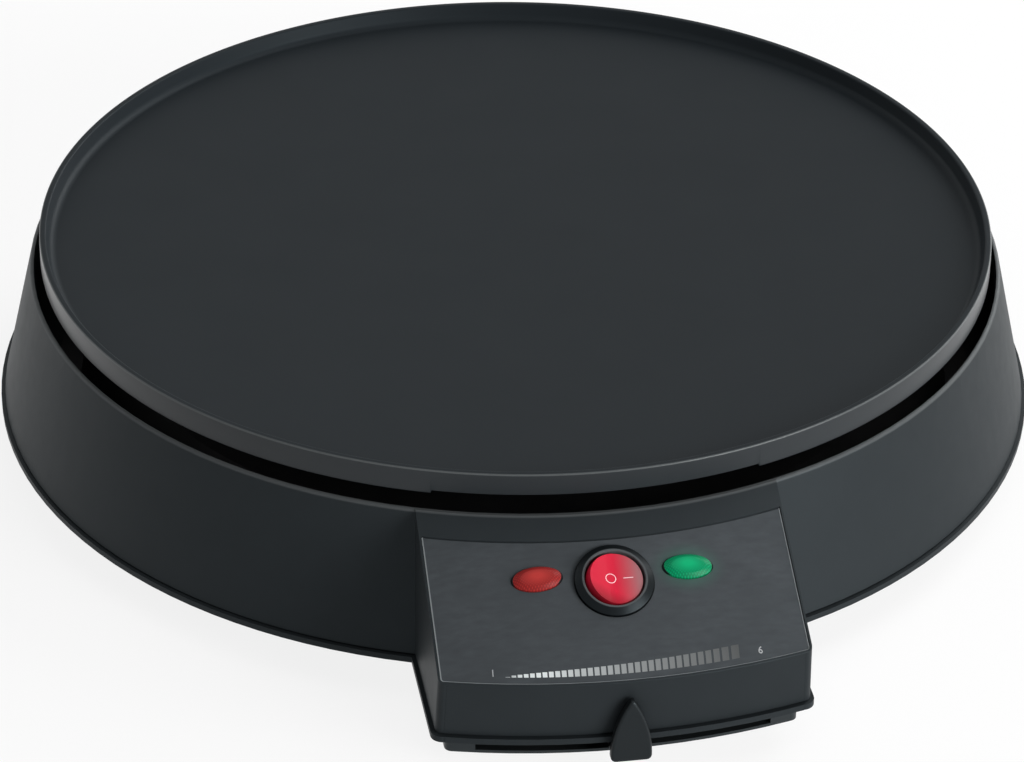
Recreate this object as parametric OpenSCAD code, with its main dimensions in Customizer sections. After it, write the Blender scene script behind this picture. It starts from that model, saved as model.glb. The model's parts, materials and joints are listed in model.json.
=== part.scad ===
// Electric crepe maker: a round baking plate on a conical housing with a control box at the front.
// Millimetres, +Z up, the feet stand on z = 0 and the control box faces -Y.
// The origin is the middle of the whole machine's footprint.

/* [Baking plate] */
// Outer diameter of the baking plate
plate_d = 300; // [294:1:306]
// Height of the plate's rim wall, outside
rim_h = 8; // [7:0.5:9]
// Width of the rim at its crest
rim_w = 2; // [1.8:0.1:2.4]
// Rounding of the crest's outer edge
crest_outer_r = 0.4; // [0.3:0.1:0.5]
// Rounding of the crest's inner edge
crest_inner_r = 0.6; // [0.4:0.1:0.8]
// Depth of the baking surface below the crest
tray_depth = 5.2; // [4.6:0.1:5.6]
// Thickness of the plate at the baking surface
plate_t = 3.4; // [3:0.1:4]
// Radius of the fillet between rim and baking surface
tray_fillet = 2.5; // [1.5:0.5:3]
// Height of the notch in the rim above the control box
notch_h = 1.2; // [0.8:0.1:1.6]
// Half angle of that notch
notch_half_angle = 18.8; // [16:0.2:20]

/* [Housing] */
// Gap between the plate's rim and the housing's top edge
plate_gap = 3.8; // [3.2:0.1:5]
// How far the housing's top edge stands outside the plate
housing_overhang = 3.4; // [3:0.1:4]
// Height of the housing from its bottom lip to its top edge
housing_h = 46.2; // [44:0.2:50]
// How far the skirt flares from its top edge to its foot
skirt_flare = 9.9; // [9:0.1:11]
// Wall of the housing
wall = 2.6; // [2.2:0.1:3]
// Rounding of the housing's top edge
shoulder_r = 1; // [0.8:0.1:1.2]
// Height over which the wall thins out to that edge
thinning_h = 4; // [3:0.5:6]
// Height of the lip round the housing's foot
lip_h = 1.9; // [1.5:0.1:2.3]
// How far the lip stands out from the skirt
lip_reach = 1.2; // [0.8:0.1:1.6]
// Depth and height of the groove above the lip
groove = 0.5; // [0.3:0.1:0.7]
// Thickness of the flange inside the housing's foot
flange_t = 2.4; // [2:0.1:3]
// Inner diameter of that flange
flange_bore_d = 278; // [274:1:280]

/* [Control box] */
// Distance from the housing's top edge to the box's top front edge
box_depth = 48.6; // [47:0.2:50]
// Width of the box at the housing's top edge
box_top_w = 106.6; // [106:0.2:108]
// How much each side of the box leans out down to its foot
box_draft = 1.5; // [1:0.1:2]
// How far the box's nose leans in down to its foot
nose_rake = 1.4; // [1:0.1:2]
// Slope of the control panel, in degrees
panel_slope = 27.8; // [27:0.1:29]
// Radius of the box's upright corners
box_corner_r = 2.4; // [2:0.1:2.8]
// Rounding of the box's top front edge
panel_edge_r = 0.4; // [0.3:0.1:0.4]
// Distance from the housing's top edge to the label
label_back = 7.6; // [6:0.2:9]
// Distance from the label to the box's front and side edges
label_margin = 0.75; // [0.75:0.05:1]
// Radius of the label's front corners
label_corner_r = 1.2; // [1:0.1:1.5]
// Thickness of the label
label_t = 0.4; // [0.3:0.1:0.5]
// Depth of the recess that holds the label
label_recess = 0.8; // [0.6:0.1:0.9]

/* [Switch] */
// Diameter of the switch's bezel
bezel_d = 23; // [22:0.5:24]
// Height of the bezel above the label
bezel_proud = 2; // [1.5:0.1:2.5]
// Diameter of the round opening in the bezel
opening_d = 17.4; // [17:0.1:17.8]
// Diameter of the switch's barrel behind the panel
barrel_d = 19.8; // [19.4:0.1:20.2]
// Depth of the barrel below the panel
barrel_depth = 12; // [11:0.5:12.5]
// Distance from the label's back edge to the switch's centre
switch_back = 12.1; // [11.6:0.1:13]
// Angle through which the rocker tips
rocker_travel = 16; // [14:1:18]
// Diameter of the rocker's hinge pins
trunnion_d = 1.8; // [1.6:0.1:2]

/* [Lamps] */
// Length of a lamp lens
lens_l = 14.6; // [14:0.1:15]
// Width of a lamp lens
lens_w = 7.8; // [7.4:0.1:8.2]
// Height of a lens above the label
lens_proud = 1.6; // [1.2:0.1:2]
// Sideways distance of a lamp from the middle of the box
lamp_offset = 22; // [21:0.5:23]
// Distance from the label's back edge to the lamps' centres
lamp_back = 10.6; // [10:0.1:12]
// Diameter of a neon bulb
bulb_d = 4; // [3.6:0.1:4.4]

/* [Heating] */
// Diameter of the ring along which the heating tube runs
element_ring_d = 196; // [190:1:200]
// Diameter of the heating tube
element_d = 7; // [6.5:0.1:7.4]
// Depth of the tube's centre below the underside of the plate
element_drop = 5; // [4.8:0.1:5.6]
// Angle of the ring that the tube leaves open
element_gap_angle = 50; // [46:1:54]
// Width of the cast ridge that holds the tube
ridge_w = 14; // [12:0.5:15]
// Diameter of the circle on which the plate's three spacers stand
spacer_circle_d = 120; // [116:1:124]
// Outer diameter of a spacer
spacer_d = 9; // [8:0.5:10]
// Thickness of the steel heat shield
shield_t = 0.8; // [0.6:0.1:1.2]
// Height of the heat shield's top above its flange
shield_rise = 24.4; // [22:0.2:26]
// Diameter of the heat shield's flat top
shield_top_d = 256; // [252:1:260]
// Width of the heat shield's flange
shield_flange_w = 8; // [7:0.5:9]

/* [Thermostat and lever] */
// Diameter of the thermostat's shaft
shaft_d = 6; // [5.6:0.1:6.4]
// Radial clearance of the shaft in its bush
shaft_clearance = 0.05; // [0.03:0.01:0.1]
// Width of the thermostat's frame
frame_w = 16; // [14:0.5:18]
// Half angle through which the lever swings
lever_half_travel = 11; // [9:0.5:11]
// Width of the lever's steel arm
arm_w = 10.4; // [10:0.1:10.8]
// Thickness of the lever's steel arm
arm_t = 1.2; // [1:0.1:1.3]
// Height of the slot for the lever
slot_h = 1.9; // [1.8:0.1:2.2]
// Width of the lever's grip at its foot
grip_w = 12; // [11.2:0.1:12.4]
// Rounding of the grip's lower corners
grip_corner_r = 1.6; // [1.4:0.1:2]
// Height of the grip's tip above the floor
grip_top = 27.7; // [26:0.1:29]
// Thickness of the grip
grip_t = 2.6; // [2.4:0.1:3]
// Gap between the grip and the box's lip
grip_gap = 0.75; // [0.6:0.05:1]

/* [Bottom cover and feet] */
// Height of the feet
foot_h = 5.8; // [5:0.1:7]
// Diameter of a foot
foot_d = 18; // [16:0.5:20]
// Diameter of the circle on which the feet stand
foot_circle_d = 250; // [244:2:256]
// Thickness of the bottom cover's sheet
cover_t = 1; // [0.8:0.1:1.2]
// Height of the bottom cover that shows below the housing
cover_h = 6.2; // [6:0.1:7]
// Gap between the bottom cover's tongue and the box's walls
cover_clearance = 0.6; // [0.5:0.1:0.8]
// Diameter of the shank of every cover and shield screw
screw_d = 4; // [3.5:0.1:4.2]

/* [Cord inlet] */
// Bore of the cord gland
gland_bore_d = 7.4; // [6.8:0.1:8]
// Thread diameter of the cord gland
gland_thread_d = 14; // [13:0.5:15]
// Height of the gland's axis above the floor
gland_z = 27; // [26.5:0.1:28]

/* [Hidden] */
$fn = 64;
// Heights, from the floor up
cover_z = foot_h;
floor_z = cover_z + cover_t;
lip_z = cover_z + cover_h;
flange_z = lip_z + flange_t;
top_z = lip_z + housing_h;
rim_z = top_z + plate_gap;
crest_z = rim_z + rim_h;
surface_z = crest_z - tray_depth;
under_z = surface_z - plate_t;
// Radii from the plate's axis
plate_r = plate_d / 2;
top_r = plate_r + housing_overhang;
foot_r = top_r + skirt_flare;
lip_r = foot_r + lip_reach;
skirt_z = lip_z + lip_h + groove;
skirt_lean = atan(skirt_flare / (top_z - skirt_z));
shoulder_land = 0.3;
shoulder_c = top_r - shoulder_r * (1 - sin(skirt_lean)) / cos(skirt_lean);
flange_r = flange_bore_d / 2;
// Control box
box_reach = top_r + box_depth;
box_foot_half = box_top_w / 2 + box_draft;
box_lip_half = box_foot_half + lip_reach;
nose_foot_r = box_reach - nose_rake;
box_lip_r = nose_foot_r + lip_reach;
lip_corner_r = box_corner_r + lip_reach;
box_inner_half = box_foot_half - wall;
passage_z = 30;
label_r0 = top_r + label_back;
label_r1 = box_reach - label_margin;
label_gap = 0.15;
switch_r = label_r0 + switch_back;
lamp_r = label_r0 + lamp_back;
lamp_angle = asin(lamp_offset / lamp_r);
// Switch, in the panel's own frame: z = 0 on the panel, -Y down the slope
seat_depth = label_recess + 0.25;
bezel_top = label_t - label_recess + bezel_proud;
pivot_depth = 1.2;
rocker_gap = 0.3;
rocker_r = opening_d / 2 - rocker_gap;
tab_pitch = 5.5;
tab_xs = [-tab_pitch, 0, tab_pitch];
tab_depth = barrel_depth + 8;
tab_w = 4.8;
// Heating
element_z = under_z - element_drop;
element_low = element_z - element_d / 2;
ring_r = element_ring_d / 2;
bend_r = 10;
leg_z = 30;
pin_d = 3;
pin_z = 20;
clamp_angles = [20, 160, 235, 305];
clamp_in = 14;
clamp_t = 1.2;
spacer_angles = [90, 210, 330];
spacer_r = spacer_circle_d / 2;
shield_z = flange_z + shield_rise;
shield_low = shield_z - shield_t;
shield_top_r = shield_top_d / 2;
shield_screw_angles = [0, 65, 115, 180, 240, 300];
shield_r = flange_r + shield_flange_w;
shield_screw_r = flange_r + shield_flange_w / 2;
window_half = 17;
plate_boss_drop = 4.4;
tap_d = 3.3;
// Thermostat, stacked down from the plate's centre pad
pad_z = under_z - 2;
pad_r = 25;
strip_t = 1.2;
blade_t = 0.8;
spring_t = 0.4;
washer_t = 2;
stack_x = -8;
bimetal_z = pad_z - strip_t - blade_t;
spring_1_z = bimetal_z - washer_t - spring_t;
spring_2_z = spring_1_z - washer_t - spring_t;
stack_z = spring_2_z - washer_t;
bush_z = shield_z + 1.2;
bridge_z = bush_z + 3;
frame_half = 13;
frame_screw_x = 19;
shaft_top_z = spring_2_z - 0.3;
shaft_r = shaft_d / 2;
tab_y = 24;
// Lever
arm_z = floor_z + (slot_h - arm_t) / 2;
hub_z = arm_z + 6.8;
hub_r = 8;
joggle_r0 = 38;
joggle_r1 = 52;
grip_back_r = box_lip_r + grip_gap;
grip_front_r = grip_back_r + grip_t;
grip_z = 6.9;
grip_bulge_z = grip_z + grip_corner_r;
grip_chamfer = 1.1;
grip_pocket = 1.6;
slot_half_angle = lever_half_travel + atan((arm_w / 2 + 0.5) / (box_reach - wall));
nut_t = 3.2;
axis_y = (grip_front_r - lip_r) / 2;
// Bottom cover
tub_r = flange_r + 9;
tongue_half = box_inner_half - cover_clearance;
tongue_r = nose_foot_r - wall - cover_clearance;
tongue_top_z = flange_z - 0.4;
cover_screw_r = flange_r + 3.2;
cover_screw_angles = [30, 150, 210, 330];
box_boss_x = 45;
box_boss_y = -167;
boss_r = 4.4;
rib_t = 2.4;
rib_x = box_boss_x + boss_r - 0.6;
rib_z = skirt_z + 1.6;
shield_post_r = tub_r - cover_t - shield_screw_r - 0.4;
foot_angles = [45, 135, 225, 315];
foot_ring_r = foot_circle_d / 2;
stem_d = 6;
// Cord inlet
gland_seat_y = 161.2;
gland_flange_t = 3;
gland_nut_t = 4;
gland_pad_r = 12;
gland_in_y = 154.8;
// Terminal block
block_y = 98;
block_w = 36;
block_l = 18;
block_h = 12;
block_screw_x = block_w / 2 - 3;
pole_pitch = 11;
block_low = shield_low - block_h;
// Fuse
fuse_x = 42;
earth_x = -24;
fuse_y = 12;
fuse_d = 4;
fuse_l = 10;
sleeve_r = 3.2;
fuse_z = shield_low - sleeve_r;
clip_screw_x = 9;
small_screw_d = 3;
// Leads
lead_d = 2.4;
lead_sides = 8;
grommet_y = 36;

// ---------- shared helpers ----------

// Height of the panel's cone at radius r
function panel_z(r) = top_z - (r - top_r) * tan(panel_slope);
// Half width of the box at height z
function box_half(z) = box_foot_half - (z - skirt_z) * box_draft / (top_z - skirt_z);
// Radius of the nose at height z
function nose_r(z) = nose_foot_r + (z - skirt_z) * nose_rake / (panel_z(box_reach) - skirt_z);
// Centre of a corner circle of radius c inside the side x = h and the circle r
function corner(h, r, c) = [h - c, -sqrt(pow(r - c, 2) - pow(h - c, 2))];
// Points of a circular arc in a plane
function arc(c, r, a0, a1, n) = [for (i = [0:n]) let(a = a0 + (a1 - a0) * i / n) c + r * [cos(a), sin(a)]];
function unit(v) = v / norm(v);

// Puts children on the plate's axis
module on_axis() {
    translate([0, axis_y, 0])
        children();
}

// Puts children on the panel, with +Z out of it, at angle a from the middle and radius r
module on_panel(a, r) {
    rotate([0, 0, a])
        translate([0, -r, panel_z(r)])
            rotate([panel_slope, 0, 0])
                children();
}

// Repeats children at each angle, at radius r, facing outwards along +X
module around(angles, r) {
    for (a = angles)
        rotate([0, 0, a])
            translate([r, 0, 0])
                children();
}

// A box centred on x and y, standing on z
module slab(x, y, z) {
    translate([-x / 2, -y / 2, 0])
        cube([x, y, z]);
}

// A tube standing on z = 0
module tube(outer_r, inner_r, h) {
    difference() {
        cylinder(r = outer_r, h = h);
        translate([0, 0, -1])
            cylinder(r = inner_r, h = h + 2);
    }
}

// Pan head screw: head above z = 0, shank below it, with a cross recess
module pan_screw(d, length, head_r, head_h) {
    difference() {
        rotate_extrude()
            polygon([[0, -length], [d / 2 - 0.4, -length], [d / 2, 0.4 - length], [d / 2, 0], [head_r, 0],
                [head_r, head_h * 0.45], [head_r - head_h * 0.5, head_h], [0, head_h]]);
        for (a = [0, 90])
            rotate([0, 0, a])
                translate([0, 0, head_h * 0.35])
                    slab(head_r, 0.9, head_h);
    }
}

// ---------- baking plate ----------

// Half section of the cast plate: chamfered foot, flat crest with rounded edges, filleted tray
function plate_section() = concat(
    [[0, under_z], [plate_r - 6, under_z], [plate_r - 4, rim_z], [plate_r, rim_z]],
    arc([plate_r - crest_outer_r, crest_z - crest_outer_r], crest_outer_r, 0, 90, 3),
    arc([plate_r - rim_w + crest_inner_r, crest_z - crest_inner_r], crest_inner_r, 90, 180, 4),
    arc([plate_r - rim_w - 1 - tray_fillet, surface_z + tray_fillet], tray_fillet, 0, -90, 5),
    [[0, surface_z]]);

module plate_boss(angles, r, low, boss_r) {
    around(angles, r)
        translate([0, 0, low])
            cylinder(r = boss_r, h = under_z + 0.5 - low);
}

module plate_tap(angles, r, low) {
    around(angles, r)
        translate([0, 0, low - 1])
            cylinder(d = tap_d, h = surface_z - 2 - low + 1);
}

module baking_plate() {
    color("#3b3b3d")
        on_axis()
            difference() {
                union() {
                    rotate_extrude()
                        polygon(plate_section());
                    rotate([0, 0, 92 + element_gap_angle / 2])
                        rotate_extrude(angle = 356 - element_gap_angle)
                            translate([ring_r - ridge_w / 2, element_z])
                                square([ridge_w, under_z + 0.5 - element_z]);
                    translate([0, 0, pad_z])
                        cylinder(r = pad_r, h = under_z + 0.5 - pad_z);
                    plate_boss(spacer_angles, spacer_r, under_z - plate_boss_drop, 6);
                    plate_boss(clamp_angles, ring_r - clamp_in, element_low, 4.5);
                }
                rotate_extrude()
                    translate([ring_r, element_z])
                        circle(d = element_d + 0.2);
                rotate([0, 0, -90 - notch_half_angle])
                    rotate_extrude(angle = 2 * notch_half_angle)
                        translate([plate_r - rim_w - 0.4, rim_z - 1])
                            square([rim_w + 1, notch_h + 1]);
                plate_tap(spacer_angles, spacer_r, under_z - plate_boss_drop);
                plate_tap(clamp_angles, ring_r - clamp_in, element_low);
                plate_tap([0, 180], frame_screw_x, pad_z);
            }
}

// ---------- heating element ----------

// Places children at both ends of the heating ring, with +X along the tube's way out
module at_element_ends() {
    for (side = [-1, 1])
        rotate([0, 0, 90 + side * element_gap_angle / 2])
            translate([ring_r, 0, element_z])
                rotate([0, 0, -side * 90])
                    children();
}

module heating_element() {
    color("#6f7276")
        on_axis() {
            rotate([0, 0, 90 + element_gap_angle / 2])
                rotate_extrude(angle = 360 - element_gap_angle)
                    translate([ring_r, 0])
                        translate([0, element_z])
                            circle(d = element_d);
            at_element_ends() {
                translate([0, 0, -bend_r])
                    rotate([90, 0, 0])
                        rotate_extrude(angle = 90)
                            translate([bend_r, 0])
                                circle(d = element_d);
                translate([bend_r, 0, leg_z - element_z])
                    cylinder(d = element_d, h = element_z - bend_r - leg_z);
            }
        }
}

module element_pins() {
    color("#c9c9c4")
        on_axis()
            at_element_ends()
                translate([bend_r, 0, pin_z - element_z])
                    cylinder(d = pin_d, h = leg_z - pin_z);
}

module element_insulators() {
    color("#efe9dc")
        on_axis()
            at_element_ends()
                translate([bend_r, 0, leg_z - 4 - element_z])
                    tube(element_d / 2, pin_d / 2, 4);
}

module element_clamps() {
    color("#a9abad")
        on_axis()
            around(clamp_angles, ring_r - clamp_in)
                translate([0, 0, element_low - clamp_t])
                    difference() {
                        translate([-6, -6, 0])
                            cube([clamp_in + 12, 12, clamp_t]);
                        translate([0, 0, -1])
                            cylinder(d = screw_d + 0.4, h = clamp_t + 2);
                    }
}

module clamp_screws() {
    color("#b9bbbd")
        on_axis()
            around(clamp_angles, ring_r - clamp_in)
                translate([0, 0, element_low - clamp_t])
                    rotate([180, 0, 0])
                        pan_screw(tap_d, clamp_t + 7, 3.6, 2.4);
}

// ---------- heat shield and the plate's supports ----------

// Half section of the pressed steel shield
function shield_section() = [[0, shield_low], [shield_top_r - shield_t, shield_low],
    [flange_r - shield_t, flange_z], [shield_r, flange_z], [shield_r, flange_z + shield_t],
    [flange_r, flange_z + shield_t], [shield_top_r, shield_z], [0, shield_z]];

module heat_shield() {
    color("#9fa2a4")
        on_axis()
            difference() {
                rotate_extrude()
                    polygon(shield_section());
                translate([0, 0, shield_low - 1])
                    cylinder(r = hub_r, h = 4);
                translate([-window_half, flange_r - 16, flange_z - 1])
                    cube([2 * window_half, 30, shield_rise - 2.5]);
                around(spacer_angles, spacer_r)
                    translate([0, 0, shield_low - 1])
                        cylinder(d = screw_d + 0.4, h = 4);
                around(shield_screw_angles, shield_screw_r)
                    translate([0, 0, flange_z - 1])
                        cylinder(d = screw_d + 0.4, h = 4);
                at_element_ends()
                    translate([bend_r, 0, shield_low - 1 - element_z])
                        cylinder(d = element_d + 4, h = 4);
                for (side = [-1, 1]) {
                    translate([stack_x, side * grommet_y, shield_low - 1])
                        cylinder(d = 7, h = 4);
                    translate([side * block_screw_x, block_y, shield_low - 1])
                        cylinder(d = small_screw_d, h = 4);
                }
                translate([fuse_x + clip_screw_x, fuse_y, shield_low - 1])
                    cylinder(d = small_screw_d, h = 4);
                translate([earth_x, fuse_y, shield_low - 1])
                    cylinder(d = small_screw_d, h = 4);
            }
}

module shield_screws() {
    color("#b9bbbd")
        on_axis()
            around(shield_screw_angles, shield_screw_r)
                translate([0, 0, flange_z + shield_t])
                    pan_screw(tap_d, shield_t + 5.4, 3.6, 2.4);
}

module plate_spacers() {
    color("#b4b6b8")
        on_axis()
            around(spacer_angles, spacer_r)
                translate([0, 0, shield_z])
                    tube(spacer_d / 2, (screw_d + 0.4) / 2, under_z - plate_boss_drop - shield_z);
}

module plate_screws() {
    color("#b9bbbd")
        on_axis()
            around(spacer_angles, spacer_r)
                translate([0, 0, shield_low])
                    rotate([180, 0, 0])
                        pan_screw(tap_d, under_z - shield_low, 4.2, 2.8);
}

// ---------- housing ----------

// Half section of the skirt's outside, filled to the axis
function skirt_section() = concat(
    [[0, lip_z], [lip_r, lip_z], [lip_r, lip_z + lip_h], [foot_r - groove, lip_z + lip_h],
        [foot_r - groove, skirt_z], [foot_r, skirt_z]],
    arc([shoulder_c, top_z - shoulder_r], shoulder_r, skirt_lean, 90, 6),
    [[0, top_z]]);

// Radius of the skirt's inside at height z, below the stretch where its wall thins out
function skirt_inner_r(z) = foot_r - wall - (z - skirt_z) * tan(skirt_lean);

// Half section of the room inside the skirt
function skirt_room() = let(edge_r = shoulder_c - shoulder_land, thin_z = top_z - thinning_h)
    [[0, flange_z], [skirt_inner_r(flange_z), flange_z], [skirt_inner_r(thin_z), thin_z], [edge_r, top_z],
        [edge_r, top_z + 1], [0, top_z + 1]];

// Half section of the box's outside, filled in to the flange's bore: nose, rounded front edge, panel
function box_section() = let(turn = atan(nose_rake / (panel_z(box_reach) - skirt_z)),
    back = panel_edge_r / tan((90 + panel_slope - turn) / 2),
    touch = box_reach - back * cos(panel_slope),
    centre = [touch, panel_z(touch)] - panel_edge_r * [sin(panel_slope), cos(panel_slope)]) concat(
    [[flange_r, lip_z + lip_h], [nose_foot_r - groove, lip_z + lip_h], [nose_foot_r - groove, skirt_z],
        [nose_foot_r, skirt_z]],
    arc(centre, panel_edge_r, -turn, 90 - panel_slope, 5),
    [[top_r, top_z], [flange_r, top_z]]);

// Half section of the room inside the box
function box_room_section() = let(drop = wall / cos(panel_slope)) [[flange_r, lip_z - 1],
    [nose_foot_r - wall, lip_z - 1], [nose_foot_r - wall, skirt_z],
    [box_reach - wall, panel_z(box_reach - wall) - drop], [top_r, top_z - drop], [flange_r, top_z - drop]];

// Right half of the box's cross section, from the foot up, and of the room inside it
function box_side() = [[box_foot_half - groove, lip_z - 1], [box_foot_half - groove, skirt_z],
    [box_foot_half, skirt_z], [box_half(top_z + 1), top_z + 1]];
function box_room_side() = [[box_inner_half, lip_z - 1], [box_inner_half, skirt_z],
    [box_half(top_z + 1) - wall, top_z + 1]];

// A right half outline with its mirror image
function both_sides(p) = concat(p, [for (i = [len(p) - 1:-1:0]) [-p[i][0], p[i][1]]]);

// The box or its room as a solid: section turned round the axis, cut to the sides, with round corners
module box_solid(section, side_points, t, corner_r) {
    low = corner(box_half(skirt_z) - t, nose_r(skirt_z) - t, corner_r);
    high = corner(box_half(top_z) - t, nose_r(top_z) - t, corner_r);
    lean = unit([high[0] - low[0], high[1] - low[1], top_z - skirt_z]);
    difference() {
        intersection() {
            rotate_extrude()
                polygon(section);
            translate([0, -120, 0])
                rotate([90, 0, 0])
                    linear_extrude(height = 100)
                        polygon(both_sides(side_points));
        }
        for (side = [0, 1])
            mirror([side, 0, 0])
                translate([low[0], low[1], skirt_z])
                    rotate([-asin(lean[1]), atan2(lean[0], lean[2]), 0])
                        difference() {
                            translate([0, -20, -8])
                                cube([20, 20, top_z]);
                            translate([0, 0, -9])
                                cylinder(r = corner_r, h = top_z + 2);
                        }
    }
}

module box_outside() {
    box_solid(box_section(), box_side(), 0, box_corner_r);
}

module box_room() {
    box_solid(box_room_section(), box_room_side(), wall, box_corner_r - 1);
}

// Outline of the box's lip, drawn as a solid from z0 up by h
module box_lip(half, r, c, z0, h) {
    e = corner(half, r, c);
    translate([0, 0, z0])
        difference() {
            intersection() {
                cylinder(r = r, h = h);
                translate([-half, -r - 1, 0])
                    cube([2 * half, r + 1 - 130, h]);
            }
            for (side = [0, 1])
                mirror([side, 0, 0])
                    difference() {
                        translate([e[0], e[1] - 20, -1])
                            cube([20, 20, h + 2]);
                        translate([e[0], e[1], -2])
                            cylinder(r = c, h = h + 4);
                    }
        }
}

// Flat ellipse, l by w, as a fine polygon
module ellipse(l, w) {
    polygon([for (i = [0:47]) [l / 2 * cos(i * 7.5), w / 2 * sin(i * 7.5)]]);
}

// Places children at both lamps, level with the box: side -1 is the red one
module at_lamp(side) {
    on_panel(side * lamp_angle, lamp_r)
        rotate([0, 0, -side * lamp_angle])
            children();
}

// The label's part of the panel grown by t all round, from depth a down to depth b below the panel
module panel_sheet(t, a, b) {
    r0 = label_r0 - t;
    r1 = label_r1 + t;
    edge = label_margin - t;
    side_points = [for (z = [skirt_z, top_z + 1]) [box_half(z) - edge, z]];
    box_solid([[r0, panel_z(r0) - a], [r0, panel_z(r0) - b], [r1, panel_z(r1) - b], [r1, panel_z(r1) - a]],
        side_points, edge, label_corner_r + t);
}

module screw_post(z0, z1, r) {
    translate([0, 0, z0])
        cylinder(r = r, h = z1 - z0);
}

module screw_bore(z0, z1) {
    translate([0, 0, z0])
        cylinder(d = tap_d, h = z1 - z0);
}

module base_housing() {
    tilt = cos(panel_slope);
    color("#2b2b2d")
        on_axis()
            difference() {
                union() {
                    difference() {
                        union() {
                            rotate_extrude()
                                polygon(skirt_section());
                            box_outside();
                            box_lip(box_lip_half, box_lip_r, lip_corner_r, lip_z, lip_h);
                        }
                        rotate_extrude()
                            polygon(skirt_room());
                        translate([0, 0, lip_z - 1])
                            cylinder(r = flange_r, h = flange_t + 2);
                        difference() {
                            box_room();
                            rotate_extrude()
                                polygon(skirt_section());
                        }
                        intersection() {
                            box_room();
                            translate([-box_foot_half, -foot_r - 2, 0])
                                cube([2 * box_foot_half, foot_r, passage_z]);
                        }
                        panel_sheet(label_gap, -4, label_recess / tilt);
                    }
                    around(cover_screw_angles, cover_screw_r)
                        screw_post(floor_z, flange_z, boss_r);
                    around(shield_screw_angles, shield_screw_r)
                        screw_post(floor_z + 0.6, flange_z, shield_post_r);
                    for (side = [-1, 1]) {
                        translate([side * box_boss_x, box_boss_y, 0])
                            screw_post(floor_z, passage_z, boss_r);
                        mirror([side < 0 ? 1 : 0, 0, 0])
                            translate([rib_x, box_boss_y - rib_t / 2, rib_z])
                                cube([box_foot_half - wall / 2 - rib_x, rib_t, passage_z - rib_z]);
                    }
                    intersection() {
                        translate([0, gland_in_y, gland_z])
                            rotate([-90, 0, 0])
                                cylinder(r = gland_pad_r, h = gland_seat_y - gland_in_y);
                        translate([-20, 0, flange_z])
                            cube([40, gland_seat_y, 60]);
                    }
                }
                translate([0, 100, gland_z])
                    rotate([-90, 0, 0])
                        cylinder(d = gland_thread_d + 0.4, h = 100);
                translate([0, gland_seat_y, gland_z])
                    rotate([-90, 0, 0])
                        cylinder(r = gland_pad_r - 0.5, h = 20);
                around(cover_screw_angles, cover_screw_r)
                    screw_bore(floor_z - 1, flange_z - 1);
                around(shield_screw_angles, shield_screw_r)
                    screw_bore(floor_z + 1.4, flange_z + 1);
                for (side = [-1, 1])
                    translate([side * box_boss_x, box_boss_y, 0])
                        screw_bore(floor_z - 1, floor_z + 14);
                on_panel(0, switch_r) {
                    translate([0, 0, -20])
                        cylinder(d = barrel_d + 0.4, h = 30);
                    translate([0, 0, -seat_depth])
                        cylinder(d = bezel_d + 0.4, h = 10);
                }
                for (side = [-1, 1])
                    at_lamp(side)
                        translate([0, 0, -8])
                            linear_extrude(height = 14)
                                ellipse(lens_l + 0.4, lens_w + 0.4);
            }
}

module control_label() {
    tilt = cos(panel_slope);
    color("#4a4a4c")
        on_axis()
            difference() {
                panel_sheet(0, (label_recess - label_t) / tilt, label_recess / tilt);
                on_panel(0, switch_r)
                    translate([0, 0, -5])
                        cylinder(d = bezel_d + 0.4, h = 10);
                for (side = [-1, 1])
                    at_lamp(side)
                        translate([0, 0, -5])
                            linear_extrude(height = 10)
                                ellipse(lens_l + 0.4, lens_w + 0.4);
            }
}

// ---------- switch ----------

module on_switch() {
    on_axis()
        on_panel(0, switch_r)
            children();
}

module switch_body() {
    step = 0.9;
    color("#1c1c1e")
        on_switch()
            difference() {
                rotate_extrude()
                    polygon([[0, -barrel_depth], [barrel_d / 2, -barrel_depth], [barrel_d / 2, -seat_depth],
                        [bezel_d / 2, -seat_depth], [bezel_d / 2, bezel_top - 1.1],
                        [bezel_d / 2 - 0.4, bezel_top - 0.7], [opening_d / 2 + step, bezel_top],
                        [opening_d / 2 + 0.1, bezel_top - 0.5], [opening_d / 2, bezel_top - 0.6],
                        [opening_d / 2, -barrel_depth + 2], [0, -barrel_depth + 2]]);
                translate([0, 0, -pivot_depth])
                    rotate([90, 0, 0])
                        translate([0, 0, -opening_d / 2 - 0.9])
                            cylinder(d = trunnion_d + 0.12, h = opening_d + 1.8);
                for (x = tab_xs)
                    translate([x, 0, -barrel_depth - 1])
                        slab(tab_w + 0.1, 0.9, 4);
            }
}

module switch_rocker() {
    half = rocker_r + 1;
    level = bezel_top + pivot_depth - 0.6;
    // The rocker rests with its right side pressed in: its right half then lies level
    color("#c4201c")
        on_switch()
            translate([0, 0, -pivot_depth]) {
                intersection() {
                    sphere(r = rocker_r);
                    translate([0, half, 0])
                        rotate([90, 0, 0])
                            linear_extrude(height = 2 * half)
                                polygon([[-half, -3], [half, -3], [half, level], [0, level],
                                    [-half, level + half * tan(rocker_travel)]]);
                }
                rotate([90, 0, 0])
                    translate([0, 0, -opening_d / 2 - 0.6])
                        cylinder(d = trunnion_d, h = opening_d + 1.2);
            }
}

module switch_neon() {
    color("#e8e0d8")
        on_switch()
            translate([0, 0, 2 - barrel_depth])
                cylinder(d = bulb_d, h = 4.4);
}

module switch_terminals() {
    color("#c8a24a")
        on_switch()
            for (x = tab_xs)
                translate([x, 0, -tab_depth])
                    slab(tab_w, 0.8, tab_depth - barrel_depth + 2);
}

// ---------- lamps ----------

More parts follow.
